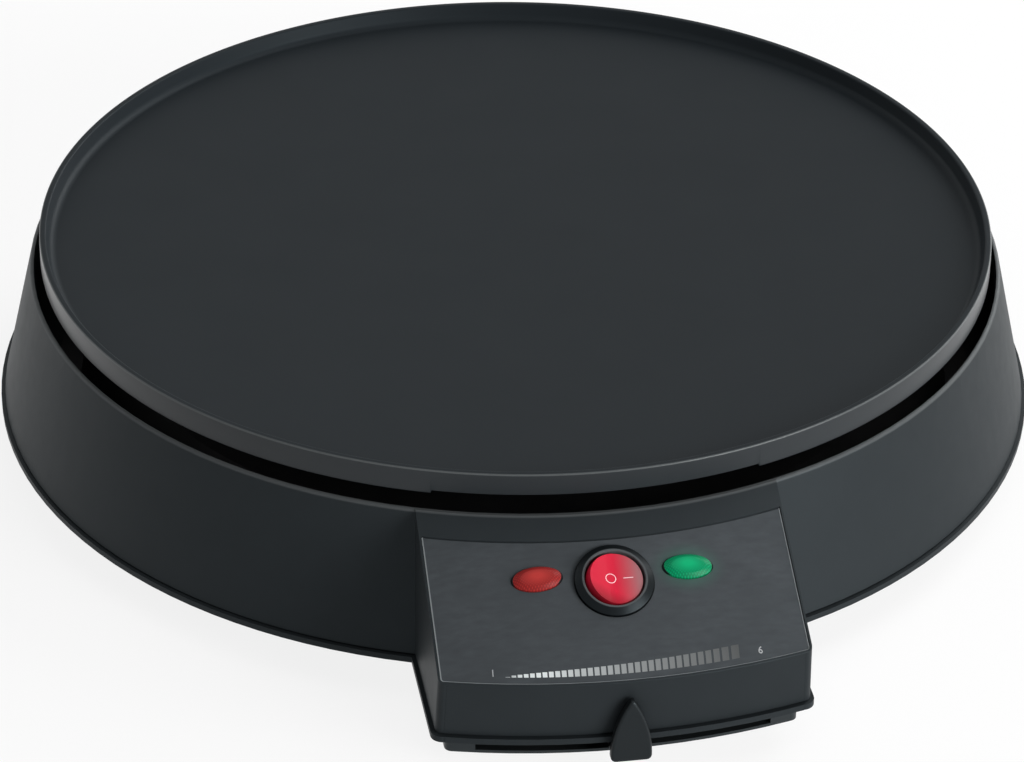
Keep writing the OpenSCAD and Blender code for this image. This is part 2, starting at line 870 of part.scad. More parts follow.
// Clear cap of a lamp: rim under the panel, body through it, a low crown and a tube for the bulb
module lens(side) {
    on_axis()
        at_lamp(side)
            difference() {
                union() {
                    translate([0, 0, -wall - 1.7])
                        linear_extrude(height = 1.5)
                            ellipse(lens_l + 2, lens_w + 2);
                    translate([0, 0, -wall - 1.7])
                        linear_extrude(height = wall + 1.7 - label_recess + label_t + 0.6)
                            ellipse(lens_l, lens_w);
                    hull() {
                        translate([0, 0, label_t - label_recess])
                            linear_extrude(height = 0.6)
                                ellipse(lens_l, lens_w);
                        translate([0, 0, label_t - label_recess])
                            linear_extrude(height = lens_proud - 0.4)
                                ellipse(lens_l - 1.4, lens_w - 1.4);
                        translate([0, 0, label_t - label_recess])
                            linear_extrude(height = lens_proud)
                                ellipse(lens_l - 5, lens_w - 4);
                    }
                    translate([0, 0, -wall - 8.5])
                        cylinder(d = bulb_d + 2.4, h = 8);
                }
                translate([0, 0, -wall - 9.5])
                    cylinder(d = bulb_d + 0.1, h = 9);
            }
}

module neon(side) {
    on_axis()
        at_lamp(side)
            translate([0, 0, -wall - 10])
                cylinder(d = bulb_d, h = 9.4);
}

module red_lens() {
    color("#b3121a")
        lens(-1);
}

module green_lens() {
    color("#35d05a")
        lens(1);
}

module red_neon() {
    color("#e8e0d8")
        neon(-1);
}

module green_neon() {
    color("#e8e0d8")
        neon(1);
}

// ---------- thermostat ----------

module thermostat_frame() {
    color("#b0a36a")
        on_axis()
            difference() {
                union() {
                    translate([0, 0, pad_z - strip_t])
                        slab(2 * frame_screw_x + 8, frame_w, strip_t);
                    for (side = [-1, 1])
                        translate([side * (frame_half + strip_t / 2), 0, bridge_z])
                            slab(strip_t, frame_w, pad_z - bridge_z);
                    translate([0, 0, bridge_z])
                        slab(2 * frame_half + 2 * strip_t, frame_w, strip_t);
                    translate([0, 0, bush_z])
                        cylinder(r = 5, h = bridge_z - bush_z + 3);
                }
                translate([0, 0, bush_z - 1])
                    cylinder(r = shaft_r + shaft_clearance, h = 10);
                around([0, 180], frame_screw_x)
                    translate([0, 0, pad_z - strip_t - 1])
                        cylinder(d = screw_d + 0.4, h = strip_t + 2);
                translate([stack_x, 0, pad_z - strip_t - 1])
                    cylinder(d = 3.2, h = strip_t + 2);
            }
}

module thermostat_screws() {
    color("#b9bbbd")
        on_axis()
            around([0, 180], frame_screw_x)
                translate([0, 0, pad_z - strip_t])
                    rotate([180, 0, 0])
                        pan_screw(tap_d, strip_t + 3, 3.4, 2.2);
}

// A blade that starts at the rivet and reaches past the shaft
module blade(z, t) {
    translate([0, 0, z])
        difference() {
            union() {
                translate([stack_x, 0, 0])
                    cylinder(r = 4, h = t);
                translate([stack_x, -3.5, 0])
                    cube([18, 7, t]);
            }
            translate([stack_x, 0, -1])
                cylinder(d = 3.2, h = t + 2);
        }
}

module thermostat_bimetal() {
    color("#a98f5a")
        on_axis()
            blade(bimetal_z, blade_t);
}

module thermostat_insulators() {
    color("#efe9dc")
        on_axis()
            for (z = [stack_z, spring_2_z + spring_t, spring_1_z + spring_t])
                translate([stack_x, 0, z])
                    tube(4, 1.6, washer_t);
}

module thermostat_contacts() {
    color("#c47a3c")
        on_axis() {
            blade(spring_1_z, spring_t);
            blade(spring_2_z, spring_t);
            translate([stack_x - 3, 3, spring_1_z])
                cube([6, tab_y - 3, spring_t]);
            translate([stack_x - 3, -tab_y, spring_2_z])
                cube([6, tab_y - 3, spring_t]);
            translate([6, 0, spring_2_z + spring_t])
                cylinder(r = 1.6, h = washer_t);
        }
}

module thermostat_rivet() {
    color("#c9c9c4")
        on_axis()
            translate([stack_x, 0, stack_z - 0.8]) {
                cylinder(r = 2.6, h = 0.8);
                cylinder(d = 3, h = pad_z - stack_z + 0.6);
            }
}

module thermostat_shaft() {
    color("#c6c8ca")
        on_axis() {
            translate([0, 0, hub_z - nut_t - 0.8])
                cylinder(d = shaft_d - 1, h = 10);
            translate([0, 0, hub_z + arm_t])
                cylinder(r = shaft_r, h = shaft_top_z - 3 - hub_z - arm_t);
            translate([0, 0, hub_z + arm_t])
                cylinder(r = 4.5, h = 2);
            translate([0, 0, shaft_top_z - 3])
                cylinder(r = 1.5, h = 3);
        }
}

module lever_arm() {
    tip_r = grip_back_r + grip_pocket;
    color("#8d9093")
        on_axis()
            difference() {
                union() {
                    translate([0, 0, hub_z])
                        cylinder(r = hub_r, h = arm_t);
                    translate([arm_w / 2, 0, 0])
                        rotate([90, 0, -90])
                            linear_extrude(height = arm_w)
                                polygon([[0, hub_z], [joggle_r0, hub_z], [joggle_r1, arm_z], [tip_r, arm_z],
                                    [tip_r, arm_z + arm_t], [joggle_r1 + 0.5, arm_z + arm_t],
                                    [joggle_r0 + 0.5, hub_z + arm_t], [0, hub_z + arm_t]]);
                }
                translate([0, 0, hub_z - 1])
                    cylinder(d = shaft_d - 1, h = arm_t + 2);
            }
}

// Pointed outline of the grip, narrowed by t
function grip_outline(t) = let(half = grip_w / 2 - t, tip = grip_top - t - grip_bulge_z, tip_half = 0.45,
    r = (pow(tip, 2) + pow(half - tip_half, 2)) / (2 * (half - tip_half)), a = asin(tip / r),
    corner_x = grip_w / 2 - grip_corner_r, corner_r = grip_corner_r - t) concat(
    arc([-corner_x, grip_bulge_z], corner_r, 180, 270, 3),
    arc([corner_x, grip_bulge_z], corner_r, 270, 360, 3),
    arc([half - r, grip_bulge_z], r, a / 8, a, 7),
    arc([r - half, grip_bulge_z], r, 180 - a, 180 - a / 8, 7));

module lever_grip() {
    color("#19191b")
        on_axis()
            difference() {
                union() {
                    translate([0, -grip_back_r, 0])
                        rotate([90, 0, 0])
                            linear_extrude(height = grip_t - grip_chamfer)
                                polygon(grip_outline(0));
                    hull() {
                        translate([0, grip_chamfer - grip_front_r + 0.1, 0])
                            rotate([90, 0, 0])
                                linear_extrude(height = 0.1)
                                    polygon(grip_outline(0));
                        translate([0, 0.1 - grip_front_r, 0])
                            rotate([90, 0, 0])
                                linear_extrude(height = 0.1)
                                    polygon(grip_outline(grip_chamfer));
                    }
                }
                translate([-arm_w / 2, -grip_back_r - grip_pocket, arm_z])
                    cube([arm_w, grip_pocket + 1, arm_t]);
            }
}

module lever_nut() {
    color("#b9bbbd")
        on_axis()
            translate([0, 0, hub_z - nut_t])
                difference() {
                    cylinder(d = 9.2, h = nut_t, $fn = 6);
                    translate([0, 0, -1])
                        cylinder(d = shaft_d - 1, h = nut_t + 2);
                }
}

// ---------- fuse, earth and terminal block ----------

module thermal_fuse() {
    color("#b8bcc0")
        on_axis()
            translate([fuse_x, fuse_y, fuse_z])
                rotate([90, 0, 0])
                    translate([0, 0, -fuse_l / 2])
                        cylinder(d = fuse_d, h = fuse_l);
}

module fuse_sleeve() {
    color("#d8d2c4")
        on_axis()
            translate([fuse_x, fuse_y, fuse_z])
                rotate([90, 0, 0])
                    translate([0, 0, -fuse_l / 2 - 6])
                        tube(sleeve_r, fuse_d / 2, fuse_l + 12);
}

module fuse_clip() {
    t = 0.8;
    color("#a9abad")
        on_axis()
            translate([fuse_x, fuse_y, fuse_z]) {
                translate([0, 4, 0])
                    rotate([90, 0, 0])
                        difference() {
                            union() {
                                cylinder(r = sleeve_r + t, h = 8);
                                translate([-sleeve_r - t, 0, 0])
                                    cube([2 * sleeve_r + 2 * t, sleeve_r, 8]);
                            }
                            translate([0, 0, -1])
                                cylinder(r = sleeve_r, h = 10);
                            translate([-sleeve_r, 0, -1])
                                cube([2 * sleeve_r, sleeve_r + 1, 10]);
                        }
                difference() {
                    translate([sleeve_r, -4, sleeve_r - t])
                        cube([10, 8, t]);
                    translate([clip_screw_x, 0, 0])
                        cylinder(d = small_screw_d, h = 10);
                }
                translate([clip_screw_x, 0, sleeve_r - t])
                    rotate([180, 0, 0])
                        pan_screw(small_screw_d, 3, 2.6, 1.6);
            }
}

module earth_tab() {
    color("#c8a24a")
        on_axis()
            translate([earth_x, fuse_y, shield_low]) {
                difference() {
                    translate([-4, -4, -0.8])
                        cube([8, 8, 0.8]);
                    translate([0, 0, -2])
                        cylinder(d = small_screw_d, h = 4);
                }
                translate([-3.15, 3.2, -9])
                    cube([6.3, 0.8, 8.4]);
                translate([0, 0, -0.8])
                    rotate([180, 0, 0])
                        pan_screw(small_screw_d, 3, 2.6, 1.6);
            }
}

module terminal_block() {
    color("#e6e2d6")
        on_axis()
            translate([0, block_y, block_low])
                difference() {
                    slab(block_w, block_l, block_h);
                    for (i = [-1:1]) {
                        translate([i * pole_pitch, -block_l, 5])
                            rotate([-90, 0, 0])
                                cylinder(d = 4, h = 2 * block_l);
                        for (y = [-4.5, 4.5])
                            translate([i * pole_pitch, y, -1])
                                cylinder(d = 3.4, h = 6);
                    }
                    for (side = [-1, 1])
                        translate([side * block_screw_x, 0, -1])
                            cylinder(d = small_screw_d, h = block_h + 2);
                }
}

module terminal_screws() {
    color("#c9c9c4")
        on_axis()
            for (i = [-1:1])
                for (y = [-4.5, 4.5])
                    translate([i * pole_pitch, block_y + y, block_low]) {
                        difference() {
                            cylinder(d = 3.4, h = 4.4);
                            translate([0, 0, -1])
                                slab(4, 0.7, 1.8);
                        }
                    }
}

module block_screws() {
    color("#b9bbbd")
        on_axis()
            for (side = [-1, 1])
                translate([side * block_screw_x, block_y, block_low])
                    rotate([180, 0, 0])
                        pan_screw(small_screw_d, block_h + shield_t + 1.2, 2.4, 1.8);
}

// ---------- cord inlet ----------

module cord_gland() {
    color("#1d1d1f")
        on_axis()
            translate([0, gland_seat_y, gland_z])
                rotate([-90, 0, 0])
                    difference() {
                        union() {
                            translate([0, 0, gland_in_y - gland_seat_y - gland_nut_t - 1])
                                cylinder(d = gland_thread_d, h = gland_seat_y - gland_in_y + gland_nut_t + 2);
                            cylinder(r = gland_pad_r - 1.5, h = gland_flange_t);
                        }
                        translate([0, 0, -30])
                            cylinder(d = gland_bore_d, h = 60);
                    }
}

module gland_nut() {
    color("#1d1d1f")
        on_axis()
            translate([0, gland_in_y, gland_z])
                rotate([90, 0, 0])
                    difference() {
                        cylinder(r = gland_pad_r - 1, h = gland_nut_t, $fn = 6);
                        translate([0, 0, -1])
                            cylinder(d = gland_thread_d, h = gland_nut_t + 2);
                    }
}

// ---------- bottom cover, screws and feet ----------

// Solid of the cover's round tub and its tongue, shrunk by t
module cover_solid(t, z0, z1) {
    translate([0, 0, z0])
        cylinder(r = tub_r - t, h = z1 - z0);
    box_lip(tongue_half - t, tongue_r - t, box_corner_r - t, z0, tongue_top_z + 2 * t - z0);
}

module cover_screw_spots() {
    around(cover_screw_angles, cover_screw_r)
        children();
    for (side = [-1, 1])
        translate([side * box_boss_x, box_boss_y, 0])
            children();
}

module bottom_cover() {
    color("#232325")
        on_axis()
            difference() {
                cover_solid(0, cover_z, lip_z);
                cover_solid(cover_t, floor_z, lip_z + 1);
                rotate([0, 0, -90 - slot_half_angle])
                    rotate_extrude(angle = 2 * slot_half_angle)
                        translate([tongue_r - 5, floor_z])
                            square([10, slot_h]);
                cover_screw_spots()
                    translate([0, 0, cover_z - 1])
                        cylinder(d = screw_d + 0.4, h = 4);
                around(foot_angles, foot_ring_r)
                    translate([0, 0, cover_z - 1])
                        cylinder(d = stem_d, h = 4);
                for (a = [30:30:360])
                    for (r = [50, 76])
                        rotate([0, 0, a])
                            translate([r, 0, cover_z - 1]) {
                                slab(14, 4, 4);
                                for (x = [-7, 7])
                                    translate([x, 0, 0])
                                        cylinder(d = 4, h = 4);
                            }
            }
}

module cover_screws() {
    color("#b9bbbd")
        on_axis()
            cover_screw_spots()
                translate([0, 0, cover_z])
                    rotate([180, 0, 0])
                        pan_screw(tap_d, cover_t + 4.6, 3.6, 2.4);
}

// Rubber foot: pad below the cover, stem through it and a button above it
module foot(angle) {
    stem_r = stem_d / 2;
    pad_r = foot_d / 2;
    color("#2c2c2c")
        on_axis()
            around([angle], foot_ring_r)
                rotate_extrude()
                    polygon([[0, 0], [pad_r - 1, 0], [pad_r, 1], [pad_r - 0.6, foot_h], [stem_r, foot_h],
                        [stem_r, floor_z], [stem_r + 1.4, floor_z], [stem_r + 0.6, floor_z + 2],
                        [0, floor_z + 2]]);
}

module foot_1() {
    foot(foot_angles[0]);
}

module foot_2() {
    foot(foot_angles[1]);
}

module foot_3() {
    foot(foot_angles[2]);
}

module foot_4() {
    foot(foot_angles[3]);
}

// ---------- leads ----------

// Smooth curve through hand-set points
function bend(p, i, t) = let(a = p[max(i - 1, 0)], b = p[i], c = p[i + 1], d = p[min(i + 2, len(p) - 1)])
    b + 0.5 * t * ((c - a) + t * ((2 * a - 5 * b + 4 * c - d) + t * (3 * b - a - 3 * c + d)));
function route(p, n) = [for (i = [0:len(p) - 2]) for (k = [0:n - 1]) bend(p, i, k / n), p[len(p) - 1]];
function heading(q, i) = unit(q[min(i + 1, len(q) - 1)] - q[max(i - 1, 0)]);
function carried(u, t) = unit(u - (u * t) * t);
function sides(q) = [for (i = 0, u = carried([0.31, 0.87, 0.42], heading(q, 0)); i < len(q);
    i = i + 1, u = carried(u, heading(q, min(i, len(q) - 1)))) u];

// Insulated lead along the points p
module lead(p, d) {
    q = route(p, 3);
    u = sides(q);
    n = lead_sides;
    last = (len(q) - 1) * n;
    polyhedron(points = [for (i = [0:len(q) - 1]) for (k = [0:n - 1])
            q[i] + d / 2 * (cos(360 * k / n) * u[i] + sin(360 * k / n) * cross(heading(q, i), u[i]))],
        faces = concat([[for (k = [0:n - 1]) k]], [[for (k = [n - 1:-1:0]) last + k]],
            [for (i = [0:len(q) - 2]) for (k = [0:n - 1]) let(m = (k + 1) % n)
                [i * n + k, (i + 1) * n + k, (i + 1) * n + m, i * n + m]]));
}

// Point h past the tip of a switch terminal, in the frame of the plate's axis
function past_tab(x, h) = let(d = tab_depth + h)
    [x, -switch_r + d * sin(panel_slope), panel_z(switch_r) - d * cos(panel_slope)];
// Point h in front of the terminal block's pole i
function past_pole(i, h) = [i * pole_pitch, block_y - block_l / 2 - h, block_low + 5];
// Point h below the tip of a heating tube's pin
function past_pin(side, h) = let(a = 90 - side * element_gap_angle / 2)
    [ring_r * cos(a) - side * bend_r * sin(a), ring_r * sin(a) + bend_r * cos(a), pin_z - h];
// Three points that bring a lead straight to p from the direction v
function straight(p, v) = [p + 5 * v, p + 2.5 * v, p];
function backwards(p) = [for (i = [len(p) - 1:-1:0]) p[i]];

module mains_leads() {
    color("#7a4a2a")
        on_axis()
            for (side = [-1, 1])
                lead(concat(
                    [past_pole(side, 0), past_pole(side, 2.5), past_pole(side, 5), [side * 14, 78, 28],
                        [side * 29, 60, 25], [side * 35, 20, 24], [side * 37, -40, 22], [side * 38, -90, 17],
                        [side * 38, -118, 11.6], [side * 36, -142, 11.4], [side * 24, -156, 13],
                        [side * 10, -160, 17]],
                    [past_tab(side * tab_pitch, 5), past_tab(side * tab_pitch, 2.5),
                        past_tab(side * tab_pitch, 0)]), lead_d);
}

module heater_leads() {
    live = [stack_x, -tab_y, spring_2_z + spring_t / 2];
    fused = [stack_x, tab_y, spring_1_z + spring_t / 2];
    color("#d9d3c3")
        on_axis() {
            lead(concat([past_tab(0, 0), past_tab(0, 2.5), past_tab(0, 5), [0, -154, 14], [2, -140, 11.4],
                [4, -118, 11.6], [2, -90, 18], [-4, -60, 26], [stack_x, -grommet_y - 3, 33],
                [stack_x, -grommet_y, shield_z], [stack_x, -grommet_y + 1, 45]],
                straight(live, [0, -1, 0])), lead_d);
            lead(concat(backwards(straight(fused, [0, 1, 0])),
                [[stack_x, grommet_y, 46], [stack_x, grommet_y, shield_z], [stack_x + 3, grommet_y - 2, 31],
                    [10, 30, 28], [32, 34, 30], [fuse_x, fuse_y + 15, fuse_z]],
                straight([fuse_x, fuse_y + fuse_l / 2, fuse_z], [0, 1, 0])), 2);
            lead(concat(backwards(straight([fuse_x, fuse_y - fuse_l / 2, fuse_z], [0, -1, 0])),
                [[fuse_x, fuse_y - 16, fuse_z], [fuse_x + 12, fuse_y - 18, 29], [fuse_x + 16, fuse_y + 6, 25],
                    [50, 60, 18], [40, 84, 13]], [past_pin(1, 5), past_pin(1, 2.5), past_pin(1, 0)]), 2);
        }
}

module earth_lead() {
    tab = [earth_x, fuse_y + 3.6, shield_low - 9];
    color("#7aa436")
        on_axis()
            lead(concat([past_pole(0, 0), past_pole(0, 2.5), past_pole(0, 5), [0, 78, 28], [-8, 56, 26],
                [-19, 34, 22], [earth_x, fuse_y + 8, 20]], straight(tab, [0, 0, -1])), lead_d);
}

baking_plate();
heating_element();
element_pins();
element_insulators();
element_clamps();
clamp_screws();
heat_shield();
shield_screws();
plate_spacers();
plate_screws();
base_housing();
control_label();
switch_body();
switch_rocker();
switch_neon();
switch_terminals();
red_lens();
green_lens();
red_neon();
green_neon();
thermostat_frame();
thermostat_screws();
thermostat_bimetal();
thermostat_insulators();
thermostat_contacts();
thermostat_rivet();
thermostat_shaft();
lever_arm();
lever_grip();
lever_nut();
thermal_fuse();
fuse_sleeve();
fuse_clip();
earth_tab();
terminal_block();
terminal_screws();
block_screws();
cord_gland();
gland_nut();
bottom_cover();
cover_screws();
foot_1();
foot_2();
foot_3();
foot_4();
mains_leads();
heater_leads();
earth_lead();
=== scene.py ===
"""Dresses the electric crepe maker: its outer pieces, finishes, printed marks, floor, light and camera.

Sizes are millimetres, measured from the baking plate's axis and from the floor, as the model's own are.
Every mesh is turned into metres and moved to the plate's axis when its piece is made.
"""

from __future__ import annotations

import json
import logging
import math
from dataclasses import dataclass, field
from enum import Enum
from typing import Callable, Iterable, Mapping, Sequence, Union

import bmesh
import bpy
from mathutils import Matrix, Vector

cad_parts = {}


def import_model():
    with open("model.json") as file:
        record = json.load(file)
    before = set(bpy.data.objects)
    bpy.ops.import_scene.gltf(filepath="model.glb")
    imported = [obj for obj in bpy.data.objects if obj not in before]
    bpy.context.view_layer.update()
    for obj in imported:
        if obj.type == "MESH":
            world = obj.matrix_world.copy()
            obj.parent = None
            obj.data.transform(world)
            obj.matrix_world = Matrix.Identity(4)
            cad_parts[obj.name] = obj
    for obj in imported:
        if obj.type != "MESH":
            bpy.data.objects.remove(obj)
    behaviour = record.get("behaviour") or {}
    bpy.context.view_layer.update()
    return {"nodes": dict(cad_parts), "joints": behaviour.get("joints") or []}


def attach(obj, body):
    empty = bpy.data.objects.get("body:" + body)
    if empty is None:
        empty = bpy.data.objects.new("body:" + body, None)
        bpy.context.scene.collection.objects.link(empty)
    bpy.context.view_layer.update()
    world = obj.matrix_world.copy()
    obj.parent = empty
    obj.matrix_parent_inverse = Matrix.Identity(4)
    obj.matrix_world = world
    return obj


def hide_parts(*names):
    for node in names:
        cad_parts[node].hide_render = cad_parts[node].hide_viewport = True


LOG = logging.getLogger("crepe_maker")
MM = 0.001
MERGE_MM = 1e-4
NEAR_MM = 1e-3

Color = tuple[float, float, float]
Place = tuple[float, float, float]
Point = tuple[float, float]
Shape = bmesh.types.BMesh
Socket = bpy.types.NodeSocket
Value = Union["Signal", Socket, float, Sequence[float]]
Inputs = Mapping[Union[str, int], Value]
Settings = Mapping[str, object]

ORIGIN: Place = (0.0, 0.0, 0.0)
EVEN: Place = (1.0, 1.0, 1.0)
IN_PLAN: Place = (1.0, 1.0, 0.0)
COOL: Color = (0.78, 0.93, 1.0)


# ---------- shader expressions ----------


def math_method(operation: str, swapped: bool = False) -> Callable[["Signal", Value], "Signal"]:
    """Returns a method of Signal that adds one Math node, swapped for Python's reflected forms."""

    def method(self: "Signal", other: Value) -> "Signal":
        """The operation on self and other."""
        values = (other, self) if swapped else (self, other)
        made = self.graph.node("ShaderNodeMath", {"operation": operation}, dict(enumerate(values)))
        return Signal(self.graph, made.outputs[0])

    return method


class Signal:
    """A number that flows through a material, with Python's arithmetic on it.

    bearing is the angle in radians from straight ahead, of a distance across and a distance ahead. most and
    least are the larger and the smaller of two, and folded goes back and forth between 0 and a size.
    """

    __add__ = math_method("ADD")
    __radd__ = math_method("ADD", swapped=True)
    __sub__ = math_method("SUBTRACT")
    __rsub__ = math_method("SUBTRACT", swapped=True)
    __mul__ = math_method("MULTIPLY")
    __rmul__ = math_method("MULTIPLY", swapped=True)
    __truediv__ = math_method("DIVIDE")
    __rtruediv__ = math_method("DIVIDE", swapped=True)
    __pow__ = math_method("POWER")
    __lt__ = math_method("LESS_THAN")
    bearing = math_method("ARCTAN2")
    most = math_method("MAXIMUM")
    least = math_method("MINIMUM")
    folded = math_method("PINGPONG")

    def __init__(self, graph: "Graph", socket: Socket) -> None:
        """Wraps an output socket of graph."""
        self.graph = graph
        self.socket = socket

    def zigzag(self, size: float) -> "Signal":
        """self folded back and forth between 0 and size, as a share of size."""
        return self.folded(size) / size

    def clamped(self) -> "Signal":
        """self, held between 0 and 1."""
        return self.most(0.0).least(1.0)

    def past(self, edge: float, soft: float) -> "Signal":
        """0 up to edge, then rising to 1 over soft."""
        return ((self - edge) / soft).clamped()


class Graph:
    """The node tree of one material or world."""

    MIX_A, MIX_B, MIX_RESULT = 6, 7, 2

    def __init__(self, owner: Union[bpy.types.Material, bpy.types.World]) -> None:
        """Empties owner's tree, ready for new nodes."""
        owner.use_nodes = True
        self.tree = owner.node_tree
        self.tree.nodes.clear()

    def feed(self, socket: Socket, value: Value) -> None:
        """Links value to socket, or sets it there when it is plain numbers."""
        source = value.socket if isinstance(value, Signal) else value
        if isinstance(source, Socket):
            self.tree.links.new(source, socket)
        else:
            socket.default_value = source

    def node(
        self, kind: str, settings: Settings | None = None, inputs: Inputs | None = None
    ) -> bpy.types.Node:
        """Adds any node.

        Args:
            kind: the node's type.
            settings: its properties, set first; "stops" gives a color ramp's (place, color) pairs.
            inputs: values or links for its sockets, by name or place.

        Returns:
            The new node.
        """
        made = self.tree.nodes.new(kind)
        for key, value in (settings or {}).items():
            if key == "stops":
                self._set_stops(made.color_ramp, value)
            else:
                setattr(made, key, value)
        for key, value in (inputs or {}).items():
            self.feed(made.inputs[key], value)
        return made

    @staticmethod
    def _set_stops(ramp: bpy.types.ColorRamp, stops: Sequence[tuple[float, Color]]) -> None:
        """Gives ramp its stops, in order."""
        while len(ramp.elements) < len(stops):
            ramp.elements.new(1.0)
        for element, (place, color) in zip(ramp.elements, stops):
            element.position = place
            element.color = (*color, 1.0)

    def signal(self, kind: str, settings: Settings, inputs: Inputs, output: str = "Fac") -> Signal:
        """Adds a node and returns one of its outputs as a Signal."""
        return Signal(self, self.node(kind, settings, inputs).outputs[output])

    def mapped(self, kind: str, inputs: Inputs) -> Socket:
        """Object coordinates in metres, through a Mapping node of this kind."""
        inputs = {"Vector": self.node("ShaderNodeTexCoord").outputs["Object"], **inputs}
        return self.node("ShaderNodeMapping", {"vector_type": kind}, inputs).outputs["Vector"]

    def place(self, stretch: Place = EVEN, centre: Place = ORIGIN) -> Socket:
        """Object coordinates in metres from centre, stretched along each axis."""
        shift = tuple(-c * s for c, s in zip(centre, stretch))
        return self.mapped("POINT", {"Scale": stretch, "Location": shift})

    def leaning(self, centre: Place, slope: float) -> Socket:
        """Object coordinates in metres from centre, with Z out of a surface that slopes down to the front."""
        return self.mapped("TEXTURE", {"Location": centre, "Rotation": (math.radians(slope), 0.0, 0.0)})

    def length(self, where: Value) -> Signal:
        """Length of a vector, in millimetres where that is in metres."""
        return self.signal("ShaderNodeVectorMath", {"operation": "LENGTH"}, {0: where}, "Value") / MM

    def radius(self, axis: Place) -> Signal:
        """Distance in millimetres from the upright axis through a point."""
        return self.length(self.place(IN_PLAN, axis))

    def height(self) -> Signal:
        """Height in millimetres above the floor."""
        return self.axis(self.place(), "Z") / MM

    def noise(self, where: Socket, size_mm: float, detail: float = 2.0) -> Signal:
        """Soft noise from 0 to 1 whose patches are about size_mm wide."""
        inputs = {"Vector": where, "Scale": 1.0 / (size_mm * MM), "Detail": detail}
        return self.signal("ShaderNodeTexNoise", {}, inputs)

    def cells(self, where: Socket, size_mm: float) -> Signal:
        """Distance from the nearest of points scattered about size_mm apart, as a share of that size."""
        inputs = {"Vector": where, "Scale": 1.0 / (size_mm * MM)}
        return self.signal("ShaderNodeTexVoronoi", {"feature": "F1"}, inputs, "Distance")

    def axis(self, where: Socket, name: str) -> Signal:
        """One of X, Y and Z of a vector."""
        return self.signal("ShaderNodeSeparateXYZ", {}, {"Vector": where}, name)

    def mix(self, share: Value, first: Value, second: Value) -> Socket:
        """The color first turned to second by share, both given as sockets or RGB."""
        first, second = ((*c, 1.0) if isinstance(c, tuple) else c for c in (first, second))
        inputs = {0: share, self.MIX_A: first, self.MIX_B: second}
        return self.node("ShaderNodeMix", {"data_type": "RGBA"}, inputs).outputs[self.MIX_RESULT]

    def bump(self, height: Signal, depth_mm: float) -> Socket:
        """The surface's normal with height, 0 to 1, raised by depth_mm."""
        made = self.node("ShaderNodeBump", inputs={"Distance": depth_mm * MM, "Height": height})
        return made.outputs["Normal"]

    def surface(self, inputs: Inputs) -> None:
        """Ends the tree in one Principled shader with these inputs."""
        shader = self.node("ShaderNodeBsdfPrincipled", inputs=inputs)
        self.node("ShaderNodeOutputMaterial", inputs={"Surface": shader.outputs[0]})


# ---------- finishes ----------


def darker(color: Color, share: float) -> Color:
    """color with every channel scaled by share."""
    return (color[0] * share, color[1] * share, color[2] * share)


@dataclass(frozen=True)
class Finish:
    """A surface with a fine grain, a slight mottle and a gloss that varies.

    mottle is the share by which the color varies over patches mottle_mm wide. The grain is grain_mm wide
    and grain_depth millimetres deep. stretch draws the pattern out along an axis where it is below 1. slot is
    not used, and glow is the strength of the light that comes through.
    """

    name: str
    color: Color
    roughness: float
    slot: str = ""
    metallic: float = 0.0
    ior: float = 1.45
    sheen_tint: Color = EVEN
    glow: float = 0.0
    mottle: float = 0.1
    mottle_mm: float = 9.0
    gloss_spread: float = 0.08
    grain_mm: float = 0.5
    grain_depth: float = 0.01
    stretch: Place = EVEN

    def material(self) -> bpy.types.Material:
        """Returns the finish's material, making it the first time."""
        name = f"finish_{self.name}"
        known = bpy.data.materials.get(name)
        if known is None:
            known = bpy.data.materials.new(name)
            self.dress(Graph(known))
        return known

    def constants(self) -> Inputs:
        """The shader's values that are the same all over the surface."""
        return {"IOR": self.ior, "Metallic": self.metallic, "Specular Tint": (*self.sheen_tint, 1.0)}

    def ground(self, graph: Graph) -> Socket:
        """The coordinates that the patterns are drawn on."""
        return graph.place(self.stretch)

    def tint(self, graph: Graph, where: Socket) -> Value:
        """The mottled color."""
        low, high = darker(self.color, 1.0 - self.mottle), darker(self.color, 1.0 + self.mottle)
        return graph.mix(graph.noise(where, self.mottle_mm, 4.0), low, high)

    def gloss(self, graph: Graph, where: Socket) -> Signal:
        """The roughness, a little more in some patches than in others."""
        patches = graph.noise(where, self.mottle_mm * 0.6, 3.0)
        return patches * self.gloss_spread + (self.roughness - self.gloss_spread / 2)

    def relief(self, graph: Graph, where: Socket) -> Socket:
        """The normal with the grain on it."""
        return graph.bump(graph.noise(where, self.grain_mm), self.grain_depth)

    def extras(self, graph: Graph) -> Inputs:
        """Further values that vary over the surface."""
        return {}

    def dress(self, graph: Graph) -> None:
        """Fills the material's tree, with the same colors in the light that comes through, if any does."""
        where = self.ground(graph)
        color = self.tint(graph, where)
        light = {"Emission Color": color, "Emission Strength": self.glow} if self.glow else {}
        gloss, relief = self.gloss(graph, where), self.relief(graph, where)
        varying = {"Base Color": color, "Roughness": gloss, "Normal": relief}
        graph.surface({**self.constants(), **self.extras(graph), **light, **varying})


